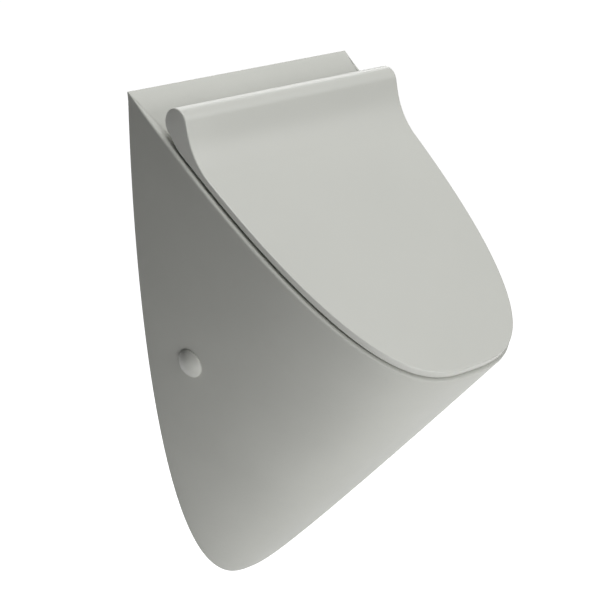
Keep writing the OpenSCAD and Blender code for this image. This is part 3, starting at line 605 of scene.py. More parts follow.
@dataclass
class Outlines:
    """Outlines of the body's back and rim, which the casting and the lid share."""

    half_w: float
    slope: Slope
    height: float = 530.0
    rim_len: float = 388.0
    back_side_power: float = 2.42
    back_down_power: float = 2.0
    rim_side_power: float = 2.91
    rim_down_power: float = 2.63
    # Degrees to each side over which an outline's direction is taken
    nudge: float = 0.5
    # Distance of the side screws from the wall
    clamp_y: float = 59.523

    def back(self, angle: np.ndarray, inset: float = 0, rise: float = 0,
             y: float = 0) -> np.ndarray:
        """Outline on the wall, from one top corner round the bottom to the other.

        Args:
            angle: Places round the outline, from 0 to 180 degrees.
            inset: How far its sides are moved in.
            rise: How far its bottom is moved up.
            y: How far it is moved into the wall.

        Returns:
            Points in millimetres.
        """
        turn = np.radians(angle)
        x = -(self.half_w - inset) * signed_power(np.cos(turn), 2 / self.back_side_power)
        z = self.slope.top - (self.height - rise) * np.abs(np.sin(turn)) ** (
            2 / self.back_down_power)
        return np.stack([x, np.full_like(x, y), z], axis=-1)

    def rim_flat(self, angle: np.ndarray, inset: float = 0, short: float = 0) -> np.ndarray:
        """Rim outline, from one top corner round the tip to the other.

        Args:
            angle: Places round the outline, from 0 to 180 degrees.
            inset: How far its sides are moved in.
            short: How far its tip is moved back.

        Returns:
            Each point as x and u.
        """
        turn = np.radians(angle)
        x = -(self.half_w - inset) * signed_power(np.cos(turn), 2 / self.rim_side_power)
        u = (self.rim_len - short) * np.abs(np.sin(turn)) ** (2 / self.rim_down_power)
        return np.stack([x, u], axis=-1)

    def rim(self, angle: np.ndarray, inset: float = 0, short: float = 0) -> np.ndarray:
        """Rim outline in space."""
        flat = self.rim_flat(angle, inset, short)
        return self.slope.point(flat[..., 0], flat[..., 1], 0)

    def inward(self, angle: np.ndarray) -> np.ndarray:
        """Direction square to the rim outline, into the bowl.

        Args:
            angle: Places round the outline, in degrees.

        Returns:
            Each direction as x and u.
        """
        angle = np.asarray(angle)
        run = unit(self.rim_flat(angle + self.nudge) - self.rim_flat(angle - self.nudge))
        return np.stack([run[..., 1], -run[..., 0]], axis=-1)

    def rim_angle(self, u: float) -> float:
        """Angle at which the rim outline lies this far down the slope."""
        return math.degrees(math.asin((u / self.rim_len) ** (self.rim_down_power / 2)))

    def clamp(self, side: Side) -> Matrix:
        """Lays an axis along one side's screw, from the middle of the body outwards."""
        return Matrix.Translation((0, -self.clamp_y, 0)) @ Matrix.Rotation(
            side.value * math.pi / 2, 4, "Y")


@dataclass
class CeramicCasting:
    """The slip cast body: outer skin, rim, sloping top, bowl and the hollow behind it."""

    lines: Outlines
    drain_z: float = -58.0
    drain_y: float = 85.0
    inlet_z: float = 158.0
    wall_t: float = 12.0
    top_t: float = 14.0
    belly: float = 7.0
    belly_start: float = 0.3
    rim_round: float = 3.3
    back_round: float = 1.6
    first_skin: float = 0.0063
    mouth_half_w: float = 117.0
    mouth_middle: float = 132.0
    mouth_back: float = 34.0
    mouth_front: float = 232.0
    mouth_side_power: float = 2.9
    mouth_front_power: float = 2.2
    mouth_back_power: float = 4.0
    mouth_round: float = 4.0
    floor_r: float = 28.0
    bowl_power: float = 1.8
    hollow_top_y: float = 66.0
    hollow_low_y: float = 46.0
    hollow_front_y: float = 165.0
    floor_t: float = 14.0
    hollow_round: float = 3.0
    hollow_fillet: float = 2.5
    pocket_in: float = 88.6
    pocket_deep: float = 72.0
    pocket_half_h: float = 18.0
    side_steps: int = 96
    edge_steps: int = 60
    skin_steps: int = 44
    round_steps: int = 5
    bowl_steps: int = 40
    # Rows of points crowd towards the back, where the belly starts
    skin_bias: float = 1.9
    # Degrees to each side over which the back outline's direction is taken
    nudge: float = 0.3
    # The bowl's first ring lies just under the mouth's rounding
    bowl_from: float = 84.0
    # The body's bottom is this much thicker than its walls, and the hollow's rows of points
    # crowd towards the back
    rise_share: float = 1.35
    hollow_steps: int = 20
    hollow_bias: float = 1.6
    fillet_angle: float = 50.0
    # Cutters reach at least this far out of the open back
    clear: float = 1.0
    # The back's rounding starts a little inside the hollow and ends short of its top corners
    flare_steps: int = 6
    flare_sink: float = 0.05
    flare_gap: float = 0.5
    # Seats of the spreader and the strainer, and holes for the hinge feet and side screws
    inlet_bores: tuple[Bore, ...] = (
        Bore("tail_hole", 12.5, 60.0, 77.0),
        Bore("head_seat", 21.5, 76.0, 88.0),
        Bore("nut_seat", 20.0, 50.0, 62.0),
    )
    drain_bores: tuple[Bore, ...] = (
        Bore("drain_hole", 20.0, -76.0, -50.0),
        Bore("drain_recess", 27.0, -61.0, -50.0),
    )
    foot_bore: Bore = Bore("foot_hole", 6.5, -28.0, 14.0)
    side_bore: Bore = Bore("side_hole", 10.0, 86.0, 136.0)

    @property
    def hollow_rise(self) -> float:
        """How far the hollow's bottom lies above the body's, at the wall."""
        return self.wall_t * self.rise_share

    def swell(self, t: np.ndarray) -> np.ndarray:
        """Share of the belly along the way from wall to rim.

        Args:
            t: Share of the way.

        Returns:
            0 at both ends and 1 where the belly is fullest.
        """
        peak = self.belly_start / (1 + self.belly_start)
        t = np.clip(t, 0, 1)
        return (t / peak) ** self.belly_start * (1 - t) / (1 - peak)

    def skin(self, angle: np.ndarray, t: np.ndarray) -> np.ndarray:
        """Points on the outer skin.

        Args:
            angle: Angle round the outline, from 0 at one top corner to 180 at the other.
            t: Share of the way from the wall to the rim.

        Returns:
            Points in millimetres.
        """
        return self.skin_between(angle, t, self.lines.back(angle), self.lines.rim(angle))

    def skin_between(self, angle: np.ndarray, t: np.ndarray, back: np.ndarray,
                     rim: np.ndarray) -> np.ndarray:
        """Skin that runs between two given outlines, with the belly's swell.

        Args:
            angle: Angle round the outline.
            t: Share of the way from the first outline to the second.
            back: Points of the outline at the wall.
            rim: Points of the outline at the rim.

        Returns:
            Points in millimetres.
        """
        tip = self.lines.rim(np.array(90.0)) - self.lines.back(np.array(90.0))
        down = np.array([0, -tip[2], tip[1]]) / np.linalg.norm(tip)
        t = np.asarray(t)[..., None]
        share = self.swell(t) * (np.sin(np.radians(angle)) ** 2)[..., None]
        return mix(back, rim, t) + self.belly * share * down

    def mouth(self, angle: np.ndarray, grow: float = 0) -> np.ndarray:
        """Outline of the bowl's mouth on the slope, a closed loop.

        Args:
            angle: Places round the loop, in degrees.
            grow: How far the loop is widened.

        Returns:
            Points in millimetres.
        """
        turn = np.radians(angle)
        front = np.sin(turn) >= -ROUNDING
        across = np.where(
            front,
            signed_power(np.cos(turn), 2 / self.mouth_side_power),
            signed_power(np.cos(turn), 2 / self.mouth_back_power),
        )
        rise = np.abs(np.sin(turn))
        u = np.where(
            front,
            self.mouth_middle + (self.mouth_front + grow) * rise ** (2 / self.mouth_front_power),
            self.mouth_middle - (self.mouth_back + grow) * rise ** (2 / self.mouth_back_power),
        )
        return self.lines.slope.point(-(self.mouth_half_w + grow) * across, u, 0)

    def bowl(self, angle: np.ndarray, turn: float) -> np.ndarray:
        """Ring of the bowl.

        Args:
            angle: Places round the ring, in degrees.
            turn: Which ring, from the bowl's floor at 0 to its mouth at 90 degrees.

        Returns:
            Points in millimetres.
        """
        a = self.mouth(angle)
        around = np.radians(angle)
        b = np.stack([
            -self.floor_r * np.cos(around),
            -self.drain_y - self.floor_r * np.sin(around),
            np.full_like(around, self.drain_z),
        ], axis=-1)
        out = math.sin(math.radians(turn)) ** (2 / self.bowl_power)
        up = 1 - math.cos(math.radians(turn)) ** (2 / self.bowl_power)
        return np.stack([
            mix(b[..., 0], a[..., 0], out),
            mix(b[..., 1], a[..., 1], out),
            mix(b[..., 2], a[..., 2], up),
        ], axis=-1)

    def side_rows(self, angle: np.ndarray) -> np.ndarray:
        """Rows of points from the back face over the skin and the rounded rim to the top.

        Args:
            angle: Places round the outline, in degrees.

        Returns:
            One row of points for each step of the way.
        """
        back, rim = self.lines.back(angle), self.lines.rim(angle)
        span = np.linalg.norm(rim - back, axis=-1)
        start = np.maximum(self.back_round / span, self.first_skin)
        end = 1 - self.rim_round / span
        run = unit(self.lines.back(angle + self.nudge) - self.lines.back(angle - self.nudge))
        inside = back + np.stack([-run[:, 2], run[:, 1], run[:, 0]], axis=-1) * self.back_round
        flat = self.lines.rim_flat(angle) + self.lines.inward(angle) * self.rim_round
        top = self.lines.slope.point(flat[:, 0], flat[:, 1], 0)
        first, final = self.skin(angle, start), self.skin(angle, end)
        shares = np.linspace(0, 1, self.round_steps + 1)
        rows = [bend(inside, back, first, s) for s in shares]
        for step in np.linspace(0, 1, self.skin_steps + 1)[1:]:
            rows.append(self.skin(angle, start + (end - start) * step ** self.skin_bias))
        rows += [bend(final, rim, top, s) for s in shares[1:]]
        return np.array(rows)

    def edge_rows(self, x: np.ndarray) -> np.ndarray:
        """Rows of points over the rounded top back edge, from the back face to the top.

        Args:
            x: Places across the body.

        Returns:
            One row of points for each step of the rounding.
        """
        top = self.lines.slope.top
        edge = np.stack([x, 0 * x, 0 * x + top], axis=-1)
        low = edge - np.array([0, 0, self.back_round])
        high = self.lines.slope.point(x, 0 * x + self.back_round, 0)
        return np.array([bend(low, edge, high, s)
                         for s in np.linspace(0, 1, self.round_steps + 1)])

    def solid(self) -> bpy.types.Object:
        """Builds the outside and the bowl.

        Returns:
            Closed object, before anything is cut from it.
        """
        mesher = Mesher()
        sides = np.linspace(0, 180, 2 * self.side_steps + 1)
        side = mesher.add(self.side_rows(sides[1:-1]))
        turn = np.radians(180 + 180 * np.arange(self.edge_steps + 2) / (self.edge_steps + 1))
        edge = mesher.add(self.edge_rows(-self.lines.half_w * np.cos(turn)))
        mesher.sheet(side)
        mesher.sheet(edge)
        middle = self.round_steps // 2
        last = len(side) - 1
        for j in range(last):
            here, there = (self.corner_row(k, middle, last) for k in (j, j + 1))
            mesher.faces.append([edge[here, -1], edge[there, -1], side[j + 1, 0], side[j, 0]])
            mesher.faces.append([side[j, -1], side[j + 1, -1], edge[there, 0], edge[here, 0]])
        mesher.cap(np.concatenate([side[0], edge[0]]))
        loop = np.concatenate([[edge[-1, -1]], side[-1], edge[-1, :-1]])
        angles = np.concatenate([sides, np.degrees(turn[1:-1])])
        mouth, wide = self.mouth(angles), self.mouth(angles, self.mouth_round)
        low = mouth - np.array([0, 0, self.mouth_round])
        rings = [bend(wide, mouth, low, s) for s in np.linspace(0, 1, self.round_steps + 2)]
        rings += [self.bowl(angles, t)
                  for t in np.linspace(self.bowl_from, 0, self.bowl_steps + 1)]
        grid = mesher.add(np.array(rings))
        mesher.strip(loop, grid[0], closed=True)
        mesher.sheet(grid, closed=True)
        mesher.cap(grid[-1])
        return mesher.build("glazed_casting")

    def corner_row(self, row: int, middle: int, last: int) -> int:
        """Row of the back edge's rounding that a row of the skin runs into at a top corner.

        Args:
            row: Number of the skin's row, from the back face.
            middle: Number of the rounding's middle row.
            last: Number of the skin's last row.

        Returns:
            Number of the rounding's row.
        """
        if row <= self.round_steps:
            return row * middle // self.round_steps
        if row >= last - self.round_steps:
            share = row - (last - self.round_steps)
            return middle + share * (self.round_steps - middle) // self.round_steps
        return middle

    def hollow(self) -> bpy.types.Object:
        """Builds the cutter for the service space behind the bowl.

        Returns:
            Closed cutter, a wall's thickness inside the skin and past the open back.
        """
        lines = self.lines
        angle = np.linspace(0, 180, self.side_steps + 1)
        back = lines.back(angle, self.wall_t, self.hollow_rise - self.clear, self.clear)
        rim = lines.rim(angle, self.wall_t, self.wall_t)
        mesher = Mesher()
        shells = [self.skin_between(angle, np.full_like(angle, t), back, rim)
                  for t in np.linspace(0, 1, self.hollow_steps) ** self.hollow_bias]
        shells.insert(0, shells[0] + np.array([0, 4 * self.hollow_fillet, 0]))
        rows = mesher.add(np.array(shells))
        mesher.sheet(rows)
        mesher.cap(rows[0])
        mesher.cap(rows[-1])
        mesher.faces.extend([[rows[j, 0], rows[j, -1], rows[j + 1, -1], rows[j + 1, 0]]
                             for j in range(len(rows) - 1)])
        shape = mesher.build("hollow")
        wide, tall, reach = 2 * lines.half_w, 2 * lines.height, lines.rim_len
        room = self.room(wide, tall)
        under = slab("under", (-wide, -2 * reach, -2 * tall), (wide, 2 * reach, -self.top_t),
                     lines.slope.matrix())
        carve(shape, under, Carve.KEEP)
        carve(shape, room, Carve.KEEP)
        soften(shape, self.hollow_fillet, self.fillet_angle)
        return shape

    def room(self, wide: float, tall: float) -> bpy.types.Object:
        """Builds the block that bounds the service space towards the bowl.

        Args:
            wide: A width that reaches past the body on both sides.
            tall: A height that reaches past it at both ends.

        Returns:
            Closed block: leaning behind the bowl, deep under it, with a pocket at each side.
        """
        roof = self.drain_z - self.floor_t
        lean = math.atan((self.hollow_top_y - self.hollow_low_y)
                         / (self.lines.slope.top - self.drain_z))
        tilt = Matrix.Translation((0, -self.hollow_low_y, self.drain_z)) @ Matrix.Rotation(
            lean, 4, "X")
        room = slab("room", (-wide, 0, -tall), (wide, tall, tall), tilt)
        low = slab("low", (-wide, -self.hollow_front_y, -tall), (wide, tall, roof))
        carve(room, low, Carve.JOIN)
        for side in Side:
            ends = sorted((side.value * self.pocket_in, side.value * wide))
            pocket = slab("pocket", (ends[0], -self.pocket_deep, -self.pocket_half_h),
                          (ends[1], tall / 2, self.pocket_half_h))
            carve(room, pocket, Carve.JOIN)
        return room

    def outward(self, ring: np.ndarray) -> np.ndarray:
        """How each point of a flat ring moves when the ring grows by one millimetre all round.

        Args:
            ring: Points of the ring in a plane.

        Returns:
            One move for each point.
        """
        run = unit(np.roll(ring, -1, axis=0) - ring)
        square = np.stack([run[:, 1], -run[:, 0]], axis=1)
        before = np.roll(square, 1, axis=0)
        miter = (square + before) / (1 + np.sum(square * before, axis=1))[:, None]
        inwards = np.sum(miter * (ring - ring.mean(axis=0))) < 0
        return -miter if inwards else miter

    def flare(self) -> bpy.types.Object:
        """Builds the cutter that rounds the edge of the open back.

        Returns:
            Closed cutter, widest at the wall.
        """
        lines = self.lines
        top = lines.slope.top - self.top_t / math.cos(math.radians(lines.slope.angle))
        angle = np.linspace(0, 180, 2 * self.side_steps + 1)
        curve = lines.back(angle, self.wall_t, self.hollow_rise)[:, [0, 2]]
        curve = curve[curve[:, 1] < top - self.flare_gap]
        half = lines.back(angle[:self.side_steps], self.wall_t, self.hollow_rise)
        edge_x = np.interp(-top, -half[:, 2], half[:, 0])
        ring = np.concatenate([[[edge_x, top]], curve, [[-edge_x, top]]])
        move = self.outward(ring)
        rows = []
        for turn in np.linspace(0, math.pi / 2, self.flare_steps):
            grow = self.hollow_round * (1 - math.sin(turn))
            y = -self.hollow_round * (1 - math.cos(turn))
            flat = ring + move * (grow - self.flare_sink)
            rows.append(np.stack([flat[:, 0], np.full(len(flat), y), flat[:, 1]], axis=1))
        rows.insert(0, rows[0] + np.array([0, self.clear, 0]))
        mesher = Mesher()
        mesher.tube(rows)
        return mesher.build("flare")

    def along_y(self, z: float) -> Matrix:
        """Lays an axis at a height along y, with its places measured out from the wall."""
        return Matrix.Translation((0, 0, z)) @ Matrix.Rotation(math.pi / 2, 4, "X")

    def build(self) -> bpy.types.Object:
        """Builds the casting, cuts its hollow and holes, and glazes it.

        Returns:
            The finished piece.
        """
        piece = self.solid()
        paint(piece, GLAZE)
        hollow = self.hollow()
        paint(hollow, BISQUE)
        carve(piece, hollow)
        flare = self.flare()
        paint(flare, BISQUE)
        carve(piece, flare)
        inlet, drain = self.along_y(self.inlet_z), Matrix.Translation((0, -self.drain_y, 0))
        cuts = [bore.cutter(inlet) for bore in self.inlet_bores]
        cuts += [bore.cutter(drain) for bore in self.drain_bores]
        for side in Side:
            cuts.append(self.foot_bore.cutter(self.lines.slope.foot(side)))
            cuts.append(self.side_bore.cutter(self.lines.clamp(side)))
        for cut in cuts:
            paint(cut, GLAZE)
            carve(piece, cut)
        smooth(piece)
        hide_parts("ceramic_body")
        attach(piece, Body.FIXED.value)
        return piece


@dataclass
class LidMoulding:
    """The lid: a thin panel with a full width bulb along its rear edge."""

    lines: Outlines
    inset: float = 3.2
    low: float = 2.6
    high: float = 9.2
    bulb_u: float = 63.5
    bulb_v: float = 21.5
    bulb_r: float = 14.5
    flank: float = 40.0
    blend_r: float = 70.0
    under_u: float = 80.0
    edge_r: float = 1.3
    edge_steps: int = 5
    # Lip under the front edge, which starts this far down the slope
    lip_w: float = 1.2
    lip_drop: float = 1.6
    lip_u: float = 240.0
    across: int = 56
    arc_steps: int = 22
    blend_steps: int = 18
    rim_steps: int = 84
    # Slots for the hinge arms, bores for the bushes and dampers, and seats of their covers
    slot_in: float = 62.5
    slot_out: float = 77.5
    arm_angle: float = 294.0
    arm_half: float = 4.5
    swing: float = 136.0
    sweep_steps: int = 12
    slot_r: float = 9.5
    bush_r: float = 6.5
    bush_len: float = 11.5
    damper_r: float = 8.1
    damper_out: float = 111.6
    damper_spare: float = 0.5
    overlap: float = 1.0
    cover_angle: float = 225.0
    cover_half: float = 8.5
    tongue_half: float = 8.48
    tongue_off: float = 10.5
    tongue_in: float = 2.0
    tongue_out: float = 11.5
    # Room for the hinge feet under the lid
    foot_bore: Bore = Bore("foot_space", 13.7, -2.0, 5.3)
    way_half: float = 13.2
    way_low: float = -2.5
    way_high: float = 5.28
    # Where the lid's width beside the bulb is looked up, in degrees round the rim
    lookup_angles: tuple[float, float] = (0.4, 60.0)
    lookup_steps: int = 600

    def __post_init__(self) -> None:
        """Works out where the flank, the blend and the underside start."""
        lean = math.radians(self.flank)
        self.flank_u = self.bulb_u + self.bulb_r * math.sin(lean)
        self.flank_v = self.bulb_v + self.bulb_r * math.cos(lean)
        drop = self.flank_v - self.high - self.blend_r * (1 - math.cos(lean))
        self.blend_start = self.flank_u + drop / math.tan(lean)
        self.blend_end = self.blend_start + self.blend_r * math.sin(lean)
        du, dv = self.under_u - self.bulb_u, self.low - self.bulb_v
        away = math.acos(self.bulb_r / math.hypot(du, dv))
        self.under_angle = math.degrees(math.atan2(dv, du) - away) % 360
        self.touch_u, self.touch_v = self.on_bulb(self.under_angle)[:2]

    def on_bulb(self, angle: float) -> tuple[float, float, float, float]:
        """Point on the bulb's section.

        Args:
            angle: Degrees round the bulb, from the front over the top.

        Returns:
            The point's u and v, then its outward direction's.
        """
        cos, sin = math.cos(math.radians(angle)), math.sin(math.radians(angle))
        return (self.bulb_u + self.bulb_r * cos, self.bulb_v + self.bulb_r * sin, cos, sin)

    def upper(self, u: float) -> tuple[float, float, float, float]:
        """Point on the section of the top, in front of the bulb.

        Args:
            u: Place down the slope.

        Returns:
            The point's u and v, then its outward direction's.
        """
        lean = math.radians(self.flank)
        if u < self.blend_start:
            v = self.flank_v - (u - self.flank_u) * math.tan(lean)
            return (u, v, math.sin(lean), math.cos(lean))
        if u < self.blend_end:
            turn = math.asin((self.blend_end - u) / self.blend_r)
            v = self.high + self.blend_r * (1 - math.cos(turn))
            return (u, v, math.sin(turn), math.cos(turn))
        return (u, self.high, 0.0, 1.0)

    def lower(self, u: float) -> tuple[float, float, float, float]:
        """Point on the section of the underside.

        Args:
            u: Place down the slope.

        Returns:
            The point's u and v, then its outward direction's.
        """
        if u < self.under_u:
            share = (u - self.touch_u) / (self.under_u - self.touch_u)
            v = mix(self.touch_v, self.low, share)
            turn = math.radians(self.under_angle)
            return (u, v, math.cos(turn), math.sin(turn))
        return (u, self.low, 0.0, -1.0)

    def edge(self) -> list[tuple[float, float]]:
        """Rings that round the lid's edge, and two more for the lip under it.

        Returns:
            For each ring, how far in from the edge and how far below the surface it is.
        """
        angles = [math.radians(90 * (1 - k / self.edge_steps))
                  for k in range(self.edge_steps + 1)]
        rings = [(self.edge_r * (1 - math.sin(a)), self.edge_r * (1 - math.cos(a)))
                 for a in angles]
        wide = self.edge_r + self.lip_w
        return rings + [(wide, 0.0), (wide + self.edge_r, 0.0)]

    def lip(self, angle: float) -> np.ndarray:
        """How far the lip under the lid's edge hangs, from nothing at its sides to most at the tip.

        Args:
            angle: Place round the rim's outline, in degrees.

        Returns:
            The drop in millimetres at each ring of the edge.
        """
        tip = float(self.ring(np.array(90.0), 0)[1])
        here = float(self.ring(np.array(angle), 0)[1])
        share = min(max((here - self.lip_u) / (tip - self.lip_u), 0.0), 1.0)
        drop = self.lip_drop * share * share * (3 - 2 * share)
        drops = np.full(len(self.edge()), drop)
        drops[-1] = 0.0
        return drops

    def ring(self, angle: np.ndarray, more: float) -> np.ndarray:
        """Rim outline moved in by the lid's inset and some more, as x and u."""
        return self.lines.rim_flat(angle) + self.lines.inward(angle) * (self.inset + more)

    def row(self, xs: list[float], spots: list[tuple[float, float]]) -> np.ndarray:
        """One row of points across the lid, from its left edge to its right edge.

        Args:
            xs: Place across of each ring at the left edge.
            spots: The u and v of each ring.

        Returns:
            Points in millimetres.
        """
        inner = np.linspace(xs[-1], -xs[-1], self.across + 1)[1:-1]
        u_mid, v_mid = spots[-1]
        left = [(x, u, v) for x, (u, v) in zip(xs, spots)]
        middle = [(x, u_mid, v_mid) for x in inner]
        right = [(-x, u, v) for x, u, v in reversed(left)]
        points = np.array(left + middle + right)
        return self.lines.slope.point(points[:, 0], points[:, 1], points[:, 2])

    def bulb_pairs(self) -> list[tuple[tuple[float, ...], tuple[float, ...]]]:
        """Points of the section round the bulb, from its rear to where the flank starts.

        Returns:
            Each point of the upper surface with the one of the lower surface that it faces.
        """
        fall, front = self.under_angle - 180, 90 - self.flank
        pairs = []
        for k in range(self.arc_steps):
            turn = fall * k / self.arc_steps
            pairs.append((self.on_bulb(180 - turn), self.on_bulb(180 + turn)))
        for k in range(self.arc_steps):
            spot = self.on_bulb(mix(180 - fall, front, k / self.arc_steps))
            pairs.append((spot, self.lower(spot[0])))
        return pairs

    def rows(self) -> tuple[np.ndarray, np.ndarray]:
        """Rows of points from the bulb's rear to the lid's tip.

        Returns:
            The rows of the upper surface and those of the lower surface.
        """
        edge = self.edge()
        dense = np.linspace(*self.lookup_angles, self.lookup_steps)
        curves = [self.ring(dense, inset) for inset, _ in edge]
        above, below = [], []
        for pair in self.bulb_pairs():
            for spot, into in zip(pair, (above, below)):
                xs = [float(np.interp(spot[0], c[:, 1], c[:, 0])) for c in curves]
                into.append(self.row(xs, [(spot[0] - spot[2] * d, spot[1] - spot[3] * d)
                                          for _, d in edge]))
        starts = np.linspace(self.flank_u, self.blend_end, self.blend_steps + 1)[:-1]
        angles = [self.lines.rim_angle(u) for u in starts]
        first = self.lines.rim_angle(self.blend_end)
        angles += list(np.linspace(first, 90, self.rim_steps + 1))
        for angle in angles:
            at = [self.ring(np.array(angle), inset) for inset, _ in edge]
            xs = [min(float(p[0]), 0.0) for p in at]
            lip = self.lip(angle)
            for surface, drops, into in ((self.upper, 0 * lip, above), (self.lower, lip, below)):
                spots = [surface(float(p[1])) for p in at]
                into.append(self.row(xs, [(s[0] - s[2] * d, s[1] - s[3] * d - drop)
                                          for s, (_, d), drop in zip(spots, edge, drops)]))
        return np.array(above), np.array(below)

    def solid(self) -> bpy.types.Object:
        """Builds the lid's outside.

        Returns:
            Closed object, before its underside is cut.
        """
        above, below = self.rows()
        mesher = Mesher()
        top, bottom = mesher.add(above), mesher.add(below)
        mesher.sheet(top)
        mesher.sheet(bottom)
        mesher.strip(top[:, 0], bottom[:, 0])
        mesher.strip(top[:, -1], bottom[:, -1])
        mesher.strip(top[0], bottom[0])
        return mesher.build("moulded_lid")

    def plate(self, name: str, outline: list[tuple[float, float]], start: float,
              end: float) -> bpy.types.Object:
        """Cutter with an outline in the bulb's section, between two places across.

        Args:
            name: Name of the cutter.
            outline: Points up the slope and square to it, from the hinge axis.
            start: First place across, in millimetres.
            end: Last place across.

        Returns:
            The closed cutter.
        """
        flat = np.array(outline)
        rows = [self.lines.slope.point(np.full(len(flat), x), self.bulb_u - flat[:, 0],
                                       self.bulb_v + flat[:, 1]) for x in (start, end)]
        mesher = Mesher()
        mesher.tube(rows)
        return mesher.build(name)

    def disc(self, radius: float) -> list[tuple[float, float]]:
        """Circle round the hinge axis."""
        return [(radius * math.cos(a), radius * math.sin(a)) for a in full_turn(ROUND_STEPS)]

    def swept(self) -> list[tuple[float, float]]:
        """Space that the hinge arm sweeps through, from closed to fully open.

        Returns:
            Outline in the bulb's section, from the hinge axis.
        """
        reach = 2 * self.bulb_r
        first = math.radians(180 - self.arm_angle)
        final = first + math.radians(self.swing)
        points = []
        for turn, sign in ((first, -1), (final, 1)):
            along = np.array([math.cos(turn), math.sin(turn)])
            beside = np.array([-along[1], along[0]]) * sign * self.arm_half
            ends = [tuple(beside), tuple(beside + reach * along)]
            points.append(ends)
        arc = [(reach * math.cos(a), reach * math.sin(a))
               for a in np.linspace(first, final, self.sweep_steps)]
        return points[0] + arc + points[1][::-1]

    def channel(self, start: float, half: float) -> list[tuple[float, float]]:
        """Straight channel for a damper's cover, which runs out through the bulb.

        Args:
            start: How far off the hinge axis it starts.
            half: Half its width.

        Returns:
            Outline in the bulb's section, from the hinge axis.
        """
        turn = math.radians(180 - self.cover_angle)
        along = np.array([math.cos(turn), math.sin(turn)])
        beside = np.array([-along[1], along[0]]) * half
        reach = 2 * self.bulb_r
        return [tuple(start * along - beside), tuple(reach * along - beside),
                tuple(reach * along + beside), tuple(start * along + beside)]

    def cuts(self, side: Side) -> list[bpy.types.Object]:
        """Builds the cutters for one side's hinge slot, bush, damper, cover and foot.

        Args:
            side: Which side of the lid they cut.

        Returns:
            The closed cutters, which overlap.
        """
        sign, slope = side.value, self.lines.slope
        near, far = self.slot_out - self.overlap, self.damper_out + self.damper_spare
        shapes = (
            ("slot_disc", self.disc(self.slot_r), self.slot_in, self.slot_out),
            ("slot_sweep", self.swept(), self.slot_in, self.slot_out),
            ("bush_bore", self.disc(self.bush_r),
             self.slot_in - self.bush_len, self.slot_in + self.overlap),
            ("damper_bore", self.disc(self.damper_r), near, far),
            ("cover_slot", self.channel(0, self.cover_half), near, far),
            ("tongue_slot", self.channel(self.tongue_off, self.tongue_half),
             self.damper_out - self.tongue_in, self.damper_out + self.tongue_out),
        )
        made = [self.plate(name, outline, sign * start, sign * end)
                for name, outline, start, end in shapes]
        made.append(self.foot_bore.cutter(slope.foot(side)))
        low = (sign * slope.foot_x - self.way_half, -slope.foot_u, self.way_low)
        high = (sign * slope.foot_x + self.way_half, 0, self.way_high)
        made.append(slab("foot_way", low, high, slope.matrix()))
        return made

    def tool(self, side: Side) -> bpy.types.Object:
        """Joins all of one side's cutters.

        Args:
            side: Which side of the lid they cut.

        Returns:
            One closed cutter.
        """
        first, *others = self.cuts(side)
        for other in others:
            carve(first, other, Carve.JOIN)
        return first

    def build(self) -> bpy.types.Object:
        """Builds the lid, cuts its underside and dresses it.

        Returns:
            The finished piece.
        """
        piece = self.solid()
        paint(piece, THERMOSET)
        for side in Side:
            cutter = self.tool(side)
            paint(cutter, THERMOSET)
            carve(piece, cutter)
        smooth(piece)
        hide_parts("lid_panel")
        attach(piece, Body.LID.value)
        return piece


@dataclass
class SideCap:
    """Round domed cap over the screw in each side of the casting.

    Its seat is where its axis meets the left side, and square is the way out from there.
    """

    radius: float = 14.0
    crest: float = 6.8
    wall_top: float = 2.3
    wall_low: float = -0.5
    turn_r: float = 0.8
    sleeve_r: float = 8.6
    sleeve_bore: float = 7.1
    sleeve_end: float = -2.7
    under: float = 0.4
    seat: tuple[float, float, float] = (-122.572, -59.523, 0.0)
    square: tuple[float, float, float] = (-0.9822, -0.1011, -0.1583)
    steps: int = 96
    # Points round the turned edge and over the dome
    corner_points: int = 7
    dome_points: int = 20

    def profile(self) -> list[tuple[float, float]]:
        """Section of the cap, from its sleeve over the rim to the crown.

        Returns:
            Radius and height of each point.
        """
        points = [
            (self.sleeve_bore, self.under),
            (self.sleeve_bore, self.sleeve_end),
            (self.sleeve_r, self.sleeve_end),
            (self.sleeve_r, self.under),
            (self.radius - self.turn_r, self.under),
            (self.radius - self.turn_r, self.wall_low),
            (self.radius, self.wall_low),
        ]
        inner = self.radius - self.turn_r
        rise = self.crest - self.wall_top
        ball = (inner ** 2 + rise ** 2) / (2 * rise)
        slant = math.asin(inner / ball)
        start = np.array([self.radius, self.wall_top - self.turn_r])
        end = np.array([inner, self.wall_top])
        corner = np.array([self.radius, self.wall_top - self.turn_r * math.tan(slant)])
        points += [tuple(bend(start, corner, end, t))
                   for t in np.linspace(0, 1, self.corner_points)]
        for radius in inner * (1 - np.linspace(0, 1, self.dome_points)[1:-1]):
            points.append((radius, self.crest - ball + math.sqrt(ball ** 2 - radius ** 2)))
        return points

    def build(self, side: Side) -> bpy.types.Object:
        """Turns the cap's section round its axis and seats it on the skin.

        Args:
            side: Which side of the body it is on.

        Returns:
            The finished cap.
        """
        node = f"side_cap_{side.name.lower()}"
        spot, square = Vector(self.seat), Vector(self.square).normalized()
        if side is Side.RIGHT:
            spot.x, square.x = -spot.x, -square.x
        place = Matrix.Translation(spot) @ square.to_track_quat("Z", "Y").to_matrix().to_4x4()
        mesher = Mesher()
        mesher.tube([[tuple(place @ Vector((r * math.cos(a), r * math.sin(a), v)))
                      for a in full_turn(self.steps)] for r, v in self.profile()])
        piece = mesher.build(f"{node}_dome")
        paint(piece, CAP_ABS)
        smooth(piece)
        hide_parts(node)
        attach(piece, Body.FIXED.value)
        return piece


